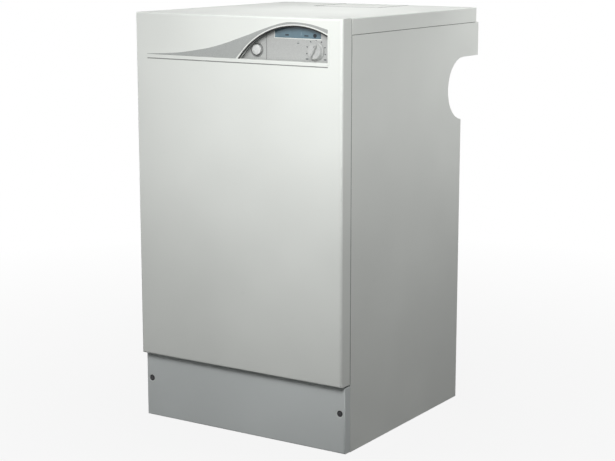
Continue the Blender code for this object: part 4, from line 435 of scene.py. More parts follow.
FOAM = {"gloss": 0.85, "grain": 900}
FINISH_MAKERS = {
    "white_paint": lambda: powder_coat("stoved white", tuple(colours().paint)),
    "grey_paint": lambda: powder_coat("stoved grey", tuple(colours().plinth), gloss=0.5),
    "silver_paint": lambda: silver_lacquer("silver lacquer", tuple(colours().silver)),
    "white_plastic": lambda: moulded(
        "white moulding", (0.62, 0.63, 0.62), gloss=0.34, grain=900, depth=0.00002
    ),
    "blue_lens": lambda: tinted_lens("display lens", tuple(colours().lens)),
    "black_plastic": lambda: moulded("black moulding", (0.022, 0.022, 0.024), gloss=0.5),
    "grey_plastic": lambda: moulded("grey moulding", (0.24, 0.25, 0.26), gloss=0.5),
    "zinc": lambda: galvanised("zinc coat", tuple(colours().zinc)),
    "cast_metal": lambda: sand_casting("light casting", tuple(colours().casting)),
    "stainless": lambda: drawn_metal(
        "stainless sheet", (0.62, 0.62, 0.6), (0.5, 0.48, 0.45), gloss=0.28, along=(6, 6, 600)
    ),
    "copper": lambda: drawn_metal("drawn copper", tuple(colours().copper), (0.42, 0.2, 0.12), gloss=0.27),
    "brass": lambda: drawn_metal(
        "turned brass", (0.75, 0.57, 0.27), (0.5, 0.36, 0.17), gloss=0.26, along=(8, 700, 700)
    ),
    "ceramic": lambda: glazed_ceramic("glazed ceramic", (0.84, 0.82, 0.77)),
    "glass": lambda: furnace_glass("furnace glass", (0.52, 0.6, 0.58)),
    "circuit_green": lambda: board_lacquer("board lacquer", (0.02, 0.13, 0.05)),
    "yellow_paint": lambda: powder_coat("yellow enamel", (0.78, 0.56, 0.04), gloss=0.3),
    # The ring's lacquer is the fascia's silver made darker: painted shade in the ring's dish.
    "ring_silver_shaded": lambda: silver_lacquer("ring lacquer darkened for shade", (0.24, 0.245, 0.24)),
    "knob_silver": lambda: silver_lacquer("knob lacquer", (0.5, 0.51, 0.5), metallic=0.1, gloss=0.5),
    "sweep_silver": lambda: silver_lacquer("sweep lacquer", (0.39, 0.405, 0.395)),
    "dark_zinc": lambda: drawn_metal("blackened screw", (0.09, 0.09, 0.095), (0.03, 0.03, 0.03), gloss=0.4),
    "foam": lambda: moulded("grey foam", (0.13, 0.13, 0.135), depth=0.0003, **FOAM),
    "pale_foam": lambda: moulded("pale foam", (0.27, 0.275, 0.27), depth=0.0002, **FOAM),
    # Black rubber for plugs, grommets and seals. Also used for flat black strips that paint shade: inside the
    # door's arch, round the plinth screws and as vent slots.
    "rubber_and_shade": lambda: moulded("black gasket", (0.016, 0.016, 0.017), gloss=0.6),
    # Grey for the joint between the fascias, and for the painted shadow in the groove under the door's bead.
    "joint_and_shadow_grey": lambda: ink("joint grey and groove shadow", (0.22, 0.225, 0.22)),
    "dial_grey": lambda: ink("dial grey", (0.14, 0.15, 0.15)),
    "ink": lambda: ink("dial ink", (0.05, 0.055, 0.06)),
    "display_ink": lambda: ink("display ink", (0.012, 0.016, 0.02)),
}


@cache
def finish_of(name):
    """The material of that name, made when it is first asked for."""
    return FINISH_MAKERS[name]()


def slot_of(node):
    """The material slot that the record gives a node."""
    parts = frame["record"]["subparts"]
    return next(part["material_slot"] for part in parts if part["node"] == node)


def body_with(node):
    """The body that carries a node."""
    bodies = frame["record"]["behaviour"]["bodies"]
    return next(body for body, nodes in bodies.items() if node in nodes)


def settle(piece, body, slot, finish=None, stands_for=()):
    """Gives a finished piece its finish and moving body, and hides the CAD nodes that it stands for."""
    if not piece.data.materials:
        piece.data.materials.append(finish_of(finish or slot))
    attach(piece, body)
    if stands_for:
        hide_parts(*stands_for)
    return piece


def evened(piece):
    """Keeps large flat faces flat where smooth shading meets them."""
    evener = piece.modifiers.new("even shading", "WEIGHTED_NORMAL")
    evener.mode, evener.weight, evener.keep_sharp = "FACE_AREA", 100, True
    return evaluated(piece)


def piece_from(name, bm, smooth_below=35):
    """A mesh object from bm, with smooth shading up to that angle in degrees."""
    mesh = bpy.data.meshes.new(name)
    bm.to_mesh(mesh)
    bm.free()
    mesh.polygons.foreach_set("use_smooth", [True] * len(mesh.polygons))
    mesh.set_sharp_from_angle(angle=radians(smooth_below))
    piece = bpy.data.objects.new(name, mesh)
    bpy.context.scene.collection.objects.link(piece)
    return piece


def evaluated(piece):
    """The piece with its modifiers made part of a plain mesh."""
    graph = bpy.context.evaluated_depsgraph_get()
    mesh = bpy.data.meshes.new_from_object(piece.evaluated_get(graph))
    piece.modifiers.clear()
    piece.data = mesh
    return piece


def merged(node):
    """A copy of a CAD node's mesh with its loose triangles joined and its flat faces made whole."""
    bm = bmesh.new()
    bm.from_mesh(frame["nodes"][node].data)
    bmesh.ops.remove_doubles(bm, verts=bm.verts, dist=2e-6)
    bmesh.ops.dissolve_limit(bm, angle_limit=radians(0.5), verts=bm.verts, edges=bm.edges)
    return bm


def dressed(node, name, finish=None):
    """A CAD node's own shape, smoothly shaded, as a piece that stands for it."""
    piece = evened(piece_from(name, merged(node)))
    piece.data.materials.clear()
    return settle(piece, body_with(node), slot_of(node), finish, stands_for=(node,))


def dress(*nodes):
    """Pieces for CAD nodes that keep their own shape and finish."""
    for node in nodes:
        dressed(node, node + "_dressed")


def skin(bm, rings):
    """Faces between closed rings of corners. A ring may be a single corner."""
    steps = max(len(ring) for ring in rings)
    for first, second in zip(rings, rings[1:]):
        for turn in range(steps):
            corners = []
            for ring, step in ((first, turn), (first, turn + 1), (second, turn + 1), (second, turn)):
                corner = ring[step % len(ring)]
                if corner not in corners:
                    corners.append(corner)
            if len(corners) > 2:
                bm.faces.new(corners)


def lathed(name, profile, centre, forward=FORWARD, steps=48, hollow=False):
    """A piece turned from (radius, distance along forward) points round an axis through centre.

    A hollow piece's profile runs round its wall and meets itself.
    """
    side = Vector((1, 0, 0)) if abs(forward.x) < 0.5 else Vector((0, 1, 0))
    up = forward.cross(side)
    bm = bmesh.new()
    rings = []
    for radius, along in profile + profile[:1] if hollow else profile:
        middle = Vector(centre) + forward * along
        ring = []
        for turn in range(steps if radius > 1e-7 else 1):
            angle = tau * turn / steps
            ring.append(bm.verts.new(middle + side * radius * cos(angle) + up * radius * sin(angle)))
        rings.append(ring)
    skin(bm, rings)
    bmesh.ops.remove_doubles(bm, verts=bm.verts, dist=1e-7)
    return closed(name, bm, 40)


def rectangle(left, right, bottom, top):
    """The corners of an upright rectangle as (x, z) points."""
    return [(left, bottom), (right, bottom), (right, top), (left, top)]


def slab(bm, outline, back, front):
    """An outline of (x, z) points with its thickness between two depths in y."""
    rear = [bm.verts.new((x, back, z)) for x, z in outline]
    face = [bm.verts.new((x, front, z)) for x, z in outline]
    bm.faces.new(rear)
    bm.faces.new(face)
    for index in range(len(outline)):
        after = (index + 1) % len(outline)
        bm.faces.new((rear[index], rear[after], face[after], face[index]))


def closed(name, bm, smooth_below=35):
    """A piece from bm with all its faces turned outwards."""
    bmesh.ops.recalc_face_normals(bm, faces=bm.faces)
    return piece_from(name, bm, smooth_below)


def plate(name, outlines, back, front):
    """Thin flat shapes in one piece, facing the front."""
    bm = bmesh.new()
    for outline in outlines:
        slab(bm, outline, back, front)
    return closed(name, bm)


def blocks(name, *boxes):
    """A piece made of boxes, each between two opposite corners."""
    bm = bmesh.new()
    for one, other in boxes:
        low = [min(pair) for pair in zip(one, other)]
        high = [max(pair) for pair in zip(one, other)]
        for vert in bmesh.ops.create_cube(bm, size=1)["verts"]:
            vert.co = Vector([low[k] if vert.co[k] < 0 else high[k] for k in range(3)])
    return piece_from(name, bm)


def turned(x, y, angle):
    """A flat point turned about the origin."""
    return (x * cos(angle) - y * sin(angle), x * sin(angle) + y * cos(angle))


def oblong(x, z, width, height, turn=0.0, corner=0.3, steps=3):
    """A rounded rectangle of (x, z) points, turned about its middle."""
    radius = corner * min(width, height)
    points = []
    for quarter, (side, up) in enumerate(((1, 1), (-1, 1), (-1, -1), (1, -1))):
        for step in range(steps + 1):
            angle = pi / 2 * (quarter + step / steps)
            across = side * (width / 2 - radius) + radius * cos(angle)
            above = up * (height / 2 - radius) + radius * sin(angle)
            right, rise = turned(across, above, turn)
            points.append((x + right, z + rise))
    return points


def soften(piece, width):
    """Rounds the sharp edges of a made piece by width."""
    bevel = piece.modifiers.new("eased edges", "BEVEL")
    bevel.width, bevel.segments = width, 2
    bevel.limit_method, bevel.angle_limit = "ANGLE", radians(35)
    bevel.harden_normals = False
    evaluated(piece)
    piece.data.polygons.foreach_set("use_smooth", [True] * len(piece.data.polygons))
    piece.data.set_sharp_from_angle(angle=radians(50))
    return piece


def quilt(name, body, cells, point, base=0.0045, crown=0.0035, fine=6):
    """A stitched foam pad. point gives the place of (share across, share along, height)."""
    bm = bmesh.new()
    last_u, last_v = cells[0] * fine, cells[1] * fine
    top, back = {}, {}
    for i in range(last_u + 1):
        for j in range(last_v + 1):
            swell = (abs(sin(pi * i / fine)) * abs(sin(pi * j / fine))) ** 0.4
            top[i, j] = bm.verts.new(point(i / last_u, j / last_v, base + crown * swell))
            if i in (0, last_u) or j in (0, last_v):
                back[i, j] = bm.verts.new(point(i / last_u, j / last_v, 0))
    for i in range(last_u):
        for j in range(last_v):
            bm.faces.new((top[i, j], top[i + 1, j], top[i + 1, j + 1], top[i, j + 1]))
    rim = [(i, 0) for i in range(last_u)] + [(last_u, j) for j in range(last_v)]
    rim += [(i, last_v) for i in range(last_u, 0, -1)] + [(0, j) for j in range(last_v, 0, -1)]
    for here, after in zip(rim, rim[1:] + rim[:1]):
        bm.faces.new((top[here], back[here], back[after], top[after]))
    bm.faces.new([back[here] for here in rim])
    return settle(closed(name, bm, 50), body, "black_plastic", "foam")


class Grower:
    """A Geometry Nodes tree built in script, with named inputs."""

    def __init__(self, name, inputs):
        self.tree = bpy.data.node_groups.new(name, "GeometryNodeTree")
        face = self.tree.interface
        face.new_socket("Geometry", in_out="INPUT", socket_type="NodeSocketGeometry")
        for label, kind in inputs:
            face.new_socket(label, in_out="INPUT", socket_type="NodeSocket" + kind)
        face.new_socket("Geometry", in_out="OUTPUT", socket_type="NodeSocketGeometry")
        self.given = self.tree.nodes.new("NodeGroupInput").outputs
        self.result = self.tree.nodes.new("NodeGroupOutput").inputs

    def node(self, kind, *links, **values):
        node = self.tree.nodes.new(kind)
        for key, value in values.items():
            setattr(node, key, value)
        for socket, source in links:
            if hasattr(source, "is_output"):
                self.tree.links.new(source, node.inputs[socket])
            else:
                node.inputs[socket].default_value = source
        return node

    def math(self, operation, first, second=0.0):
        return self.node("ShaderNodeMath", (0, first), (1, second), operation=operation).outputs[0]

    def vector(self, x=0.0, y=0.0, z=0.0):
        return self.node("ShaderNodeCombineXYZ", (0, x), (1, y), (2, z)).outputs[0]

    def on_points(self, points, instance, *more):
        links = (("Points", points), ("Instance", instance), *more)
        return self.node("GeometryNodeInstanceOnPoints", *links).outputs[0]

    def facing(self, turn):
        return self.node("FunctionNodeEulerToRotation", (0, turn)).outputs[0]

    def cube(self, size):
        return self.node("GeometryNodeMeshCube", ("Size", size)).outputs[0]

    def end(self, geometry):
        real = self.node("GeometryNodeRealizeInstances", (0, geometry)).outputs[0]
        coat = ("Material", self.given["Material"])
        done = self.node("GeometryNodeSetMaterial", ("Geometry", real), coat).outputs[0]
        self.tree.links.new(done, self.result[0])
        return self.tree

    @staticmethod
    def grow(name, tree, source=None, **values):
        """The tree's result on source, as a plain mesh piece."""
        mesh = source or bpy.data.meshes.new(name)
        piece = bpy.data.objects.new(name, mesh)
        bpy.context.scene.collection.objects.link(piece)
        grower = piece.modifiers.new(tree.name, "NODES")
        grower.node_group = tree
        inputs = [item for item in tree.interface.items_tree if item.in_out == "INPUT"]
        sockets = {item.name: item.identifier for item in inputs}
        for key, value in values.items():
            grower[sockets[key]] = value
        evaluated(piece)
        if not piece.data.materials:
            piece.data.materials.append(values["Material"])
        return piece


def rings_tree():
    """Blocks set round an axis at equal steps: knob ribs, dial marks, motor ribs."""
    made = Grower("blocks round an axis", (
        ("Count", "Int"), ("Radius", "Float"), ("First", "Float"), ("Step", "Float"),
        ("Reach", "Float"), ("Width", "Float"), ("Height", "Float"),
        ("Place", "Vector"), ("Turn", "Vector"), ("Material", "Material"),
    ))
    given = made.given
    line = made.node("GeometryNodeMeshLine", ("Count", given["Count"]), ("Offset", (0, 0, 0))).outputs[0]
    index = made.node("GeometryNodeInputIndex").outputs[0]
    angle = made.math("ADD", made.math("MULTIPLY", index, given["Step"]), given["First"])
    x = made.math("MULTIPLY", made.math("COSINE", angle), given["Radius"])
    y = made.math("MULTIPLY", made.math("SINE", angle), given["Radius"])
    offset = ("Offset", made.vector(x, y))
    circle = made.node("GeometryNodeSetPosition", ("Geometry", line), offset).outputs[0]
    block = made.cube(made.vector(given["Reach"], given["Width"], given["Height"]))
    many = made.on_points(circle, block, ("Rotation", made.facing(made.vector(z=angle))))
    place, way = ("Translation", given["Place"]), ("Rotation", made.facing(given["Turn"]))
    return made.end(made.node("GeometryNodeTransform", ("Geometry", many), place, way).outputs[0])


def heads_tree():
    """A head set on every given point, turned by the point's own attribute."""
    made = Grower("heads on points", (
        ("Head", "Object"), ("Radius", "Float"), ("Height", "Float"), ("Material", "Material"),
    ))
    given = made.given
    head = made.node("GeometryNodeObjectInfo", (0, given["Head"])).outputs["Geometry"]
    turns = made.node("GeometryNodeInputNamedAttribute", ("Name", "turn"), data_type="FLOAT_VECTOR")
    facing = made.facing(turns.outputs["Attribute"])
    size = made.vector(given["Radius"], given["Radius"], given["Height"])
    return made.end(made.on_points(given["Geometry"], head, ("Rotation", facing), ("Scale", size)))


def rows_tree():
    """Blocks in a straight row at equal steps: flat black strips that paint the shade of vent slots."""
    made = Grower("blocks in a row", (
        ("Count", "Int"), ("Step", "Vector"), ("Size", "Vector"), ("Place", "Vector"),
        ("Material", "Material"),
    ))
    given = made.given
    start, step = ("Start Location", given["Place"]), ("Offset", given["Step"])
    line = made.node("GeometryNodeMeshLine", ("Count", given["Count"]), start, step).outputs[0]
    return made.end(made.on_points(line, made.cube(given["Size"])))


TREE_MAKERS = {"rings": rings_tree, "heads": heads_tree, "rows": rows_tree}


@cache
def tree_of(name):
    """The Geometry Nodes tree of that name, made when it is first asked for."""
    return TREE_MAKERS[name]()


def pattern_of(name, rings, smooth_below):
    """Rings of twelve points with flat ends, as a hidden pattern for the heads tree."""
    bm = bmesh.new()
    corners = [[bm.verts.new(point) for point in ring] for ring in rings]
    skin(bm, corners)
    bm.faces.new(corners[0][::-1])
    bm.faces.new(corners[-1])
    head = closed(name, bm, smooth_below)
    head.hide_render = True
    head.hide_viewport = True
    return head


def hex_head():
    """A hexagon bolt head of unit radius and height on a washer."""
    hexagon, circle = (1, 0.9) * 6, (1, 1) * 6
    rings = []
    for radius, height, shape in (
        (1.25, 0, circle), (1.25, 0.2, circle), (0.96, 0.2, hexagon),
        (1, 0.24, hexagon), (1, 0.88, hexagon), (0.86, 1, circle),
    ):
        corners = [(radius * share, k * pi / 6) for k, share in enumerate(shape)]
        rings.append([(reach * cos(angle), reach * sin(angle), height) for reach, angle in corners])
    return pattern_of("hex_head_pattern", rings, 30)


def cross_head():
    """A pan head of unit radius and height with a cross recess."""
    arm, half = 0.52, 0.14
    quarter = ((arm, half), (half, half), (half, arm))
    recess = [turned(x, y, turn * pi / 2) for turn in range(4) for x, y in quarter]
    rings = []
    for radius, height in ((1, 0), (1, 0.35), (0.82, 0.82)):
        angles = [radians(15 + 30 * k) for k in range(12)]
        rings.append([(radius * cos(angle), radius * sin(angle), height) for angle in angles])
    for height in (1, 0.45):
        rings.append([(x, y, height) for x, y in recess])
    return pattern_of("cross_head_pattern", rings, 40)


PATTERN_MAKERS = {"cross": cross_head, "hexagon": hex_head}


@cache
def pattern(kind):
    """The hidden screw head of that kind, made when it is first asked for."""
    return PATTERN_MAKERS[kind]()


def spot(left, y, z):
    """A point from millimetres: from the left side, in depth and above the floor."""
    return (left / 1000 - HALF_WIDTH, y / 1000, z / 1000)


def middle_of(node):
    """A round node's middle across and in height, and its radius."""
    low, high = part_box(node)
    return (low.x + high.x) / 2, (low.z + high.z) / 2, (high.x - low.x) / 2


TURNS = {"front": (pi / 2, 0, 0), "back": (-pi / 2, 0, 0), "up": (0, 0, 0)}


def ribs(name, finish, count, radius, block, place, faces="front", first=0.0, step=None):
    """Blocks of (reach, width, height) set round an axis through place."""
    reach, width, height = block
    return Grower.grow(
        name, tree_of("rings"), Count=count, Radius=radius, First=first, Step=step or tau / count,
        Reach=reach, Width=width, Height=height, Place=place, Turn=TURNS[faces],
        Material=finish_of(finish),
    )


def rows(name, finish, count, step, size, place):
    """Blocks in a straight row that starts at place."""
    return Grower.grow(
        name, tree_of("rows"), Count=count, Step=step, Size=size, Place=place, Material=finish_of(finish)
    )


def round_axis(x, y, z, radius, first, faces, count=4):
    """Places for screws at equal steps round an axis in y."""
    turns = [first + tau * k / count for k in range(count)]
    return [((x + radius * cos(turn), y, z + radius * sin(turn)), faces) for turn in turns]


def screws(name, body, slot, places, radius=None, height=None, finish=None, head="cross"):
    """Screw heads in one piece. Places are (point on the sheet, the way it faces)."""
    mesh = bpy.data.meshes.new(name)
    mesh.from_pydata([point for point, _ in places], [], [])
    turn = mesh.attributes.new("turn", "FLOAT_VECTOR", "POINT")
    for item, (_, faces) in zip(turn.data, places):
        item.vector = TURNS[faces]
    piece = Grower.grow(
        name, tree_of("heads"), mesh, Head=pattern(head), Radius=radius or sizes().screw_radius,
        Height=height or sizes().screw_height, Material=finish_of(finish or slot),
    )
    return settle(piece, body, slot)


def seen_white(nodes, links, lit, white, share, output):
    """Shows white by share to rays from the camera, from gloss and through glass, and lit to others."""
    rays = nodes.new("ShaderNodeLightPath").outputs
    gloss, glass = rays["Is Glossy Ray"], rays["Is Transmission Ray"]
    total = rays["Is Camera Ray"]
    for operation, value in (("MAXIMUM", gloss), ("MAXIMUM", glass), ("MULTIPLY", share)):
        math = nodes.new("ShaderNodeMath")
        math.operation = operation
        links.new(total, math.inputs[0])
        if hasattr(value, "is_output"):
            links.new(value, math.inputs[1])
        else:
            math.inputs[1].default_value = value
        total = math.outputs[0]
    both = nodes.new("ShaderNodeMixShader")
    for source, target in zip((total, lit, white), both.inputs):
        links.new(source, target)
    links.new(both.outputs["Shader"], output.inputs["Surface"])


class BOILER_OT_cabinet(bpy.types.Operator):
    """Side panels, lid, flue cover and plinth"""

    bl_idname = "boiler.cabinet"
    bl_label = "Cabinet"

    def execute(self, context):
        dress("side_panel_left", "side_panel_right", "top_panel", "plinth_panel")
        self.cover()
        for side in ("left", "right"):
            self.plinth_screw("plinth_screw_" + side)
        self.seals()
        return {"FINISHED"}

    def plinth_screw(self, node):
        """The screw cut to a shank in its dimple, a cup and washer painting light and shade, and a cross
        head.
        """
        front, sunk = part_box(node)[0].y, 0.0011
        x, z, radius = middle_of(node)
        seat = front + sunk
        bm = merged(node)
        for vert in bm.verts:
            vert.co.y = max(vert.co.y, seat)
        shank = evened(piece_from(node + "_shank", bm))
        settle(shank, "plinth", "zinc", "dark_zinc", stands_for=(node,))
        profile = [(0.0061, -0.002), (0.0088, -0.00005), (0.0088, -0.0002), (0.0061, -0.0022)]
        # Painted highlight, in part: the cup is the plinth's grey paint, given the paler white paint so its
        # lit lower crescent shows brighter.
        cup = lathed(node + "_cup", profile, (x, front, z), steps=40, hollow=True)
        settle(cup, "plinth", "grey_paint", "white_paint")
        profile = [
            (0.0035, -0.0017), (0.0062, -0.0015), (0.0065, -0.0019), (0.0062, -0.0021), (0.0035, -0.0021),
        ]
        # Painted shade: the black washer stands for the hole round the head, which falls into shade.
        washer = lathed(node + "_washer", profile, (x, front, z), steps=40, hollow=True)
        settle(washer, "plinth", "black_plastic", "rubber_and_shade")
        places = [((x, seat, z), "front")]
        size = {"radius": radius - CLEAR, "height": seat - front}
        screws(node + "_head", "plinth", "zinc", places, finish="dark_zinc", **size)

    def seals(self):
        """Foam strips in the joint under the lid, seen as dark lines."""
        low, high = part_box("side_panel_left")
        half, top = -low.x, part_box("top_panel")[0].z
        inset, reach, rear = 0.0012, 0.006, 0.268
        strips = []
        for hand in (-1, 1):
            outer = (hand * (half - inset), low.y + 0.001, high.z + CLEAR)
            strips.append((outer, (hand * (half - reach), rear, top - CLEAR)))
        settle(blocks("joint_seals", *strips), CABINET, "black_plastic", "rubber_and_shade")

    def cover(self):
        """The flue cover with a lowered rim, and the foam strip that lies on the rim."""
        low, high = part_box("flue_cover_plate")
        body, slot = body_with("flue_cover_plate"), slot_of("flue_cover_plate")
        step, rim, gap = high.z - 0.0006, 0.005, 0.0014
        plate_box = (low, (high.x, high.y, step))
        raised = ((low.x + rim, low.y + rim, step - CLEAR), (high.x - rim, high.y, high.z))
        cover = blocks("flue_cover_dressed", plate_box, raised)
        settle(cover, body, slot, stands_for=("flue_cover_plate",))
        front, rear, top = low.y - gap, high.y - 0.002, high.z - CLEAR
        strips = [((low.x - gap, front, step), (high.x + gap, low.y + rim, top))]
        for inner, outer in ((low.x + rim, low.x - gap), (high.x - rim, high.x + gap)):
            strips.append(((inner, low.y + rim, step), (outer, rear, top)))
        settle(blocks("cover_seal", *strips), body, "black_plastic", "rubber_and_shade")


def arch_point(radius, angle):
    """A point on a circle round the middle of the door's arch."""
    return (ARCH_X + radius * cos(angle), ARCH_Z + radius * sin(angle))


def arch_turns(radius, foot, steps):
    """Angles from the arch's left foot over the top to the straight right edge of the opening."""
    start = pi - asin((foot - ARCH_Z) / radius)
    end = acos((OPENING_RIGHT - 0.0002 - ARCH_X) / radius)
    return [start + (end - start) * step / steps for step in range(steps + 1)]


class BOILER_OT_door(bpy.types.Operator):
    """Front door with its bezel, sweep trim and catches"""

    bl_idname = "boiler.door"
    bl_label = "Door"

    def execute(self, context):
        dress("front_door", "door_catch_left", "door_catch_right")
        self.bezel()
        dressed("door_sweep_trim", "door_sweep_trim_dressed", finish="sweep_silver")
        self.arch_gasket()
        self.edge_seals()
        self.bead_line()
        self.lining()
        return {"FINISHED"}

    def bezel(self):
        """The bezel, with the silver trim lapping the outer edge of its arch."""
        foot, width, overlap, thickness = ARCH_FOOT + 0.0004, 0.0016, 0.0002, 0.0006
        bm = merged("door_bezel")
        for vert in bm.verts:
            away = Vector((vert.co.x - ARCH_X, vert.co.z - ARCH_Z))
            on_rim = abs(away.length - ARCH_RIM) < 0.0003
            if on_rim and vert.co.z > foot:
                vert.co.x = ARCH_X + away.x * (1 - width / ARCH_RIM)
                vert.co.z = ARCH_Z + away.y * (1 - width / ARCH_RIM)
        bezel = evened(piece_from("door_bezel_dressed", bm))
        settle(bezel, "front_door", "white_plastic", "white_paint", stands_for=("door_bezel",))
        turns = arch_turns(ARCH_RIM, foot, 48)
        band = [arch_point(ARCH_RIM + overlap, turn) for turn in turns]
        band += [arch_point(ARCH_RIM - width, turn) for turn in turns[::-1]]
        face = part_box("door_sweep_trim")[0].y
        lap = plate("sweep_lap", (band,), face + thickness, face)
        settle(lap, "front_door", "silver_paint", "sweep_silver")

    def edge_seals(self):
        """Grey foam strips stuck along the back of the door's sides, seen as a line in the joint."""
        front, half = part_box("side_panel_left")[0].y, -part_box("side_panel_left")[0].x
        depth, reach = 0.0028, 0.005
        strips = []
        for hand in (-1, 1):
            for top, bottom, inset in ((0.8182, 0.1412, 0.0003), (0.8485, 0.8183, 0.0007)):
                outer = (hand * (half - inset), front - depth, bottom)
                strips.append((outer, (hand * (half - reach), front - CLEAR, top)))
        settle(blocks("edge_seals", *strips), "front_door", "black_plastic", "pale_foam")

    def arch_gasket(self):
        """Black strip inside the bezel's arch: the dark gap behind the rim, with the rim's shadow painted on.
        """
        front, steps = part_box("door_bezel")[0].y, 40
        left_width, widening = 0.0027, 0.0002
        turns = arch_turns(ARCH_RADIUS, ARCH_FOOT + 0.0002, steps)
        outer = [arch_point(ARCH_RADIUS + CLEAR, turn) for turn in turns]
        inner = []
        for step, turn in enumerate(turns):
            width = left_width + widening * step / steps
            inner.append(arch_point(ARCH_RADIUS - width, turn))
        # Painted shadow: black where the rim's shadow and the gap behind it fall, a little wider towards the
        # right.
        rubber_and_shade = plate("arch_gasket", (outer + inner[::-1],), front + 0.003, front + 0.0004)
        settle(soften(rubber_and_shade, 0.0003), "front_door", "black_plastic", "rubber_and_shade")

    def bead_line(self):
        """Soft grey strip in the groove under the bead: the bead's painted shadow."""
        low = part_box("door_bezel")[0]
        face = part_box("front_door")[0].y
        left, right = low.x + 0.0003, OPENING_RIGHT - 0.0003
        groove = rectangle(left, right, low.z - 0.0019, low.z - CLEAR)
        # Painted shadow: grey under the bead's lower edge, where its shadow falls.
        strip = plate("bead_line", (groove,), face + 0.0006, face + CLEAR)
        settle(strip, "front_door", "white_paint", "joint_and_shadow_grey")

    def lining(self):
        """A quilted foam pad glued inside the door."""
        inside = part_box("front_door")[0].y + PAD_BACK
        width, height, foot = 0.43, 0.56, 0.175
        quilt(
            "door_lining", "front_door", (8, 10),
            lambda u, v, up: (width * (u - 0.5), inside + up, foot + height * v),
        )


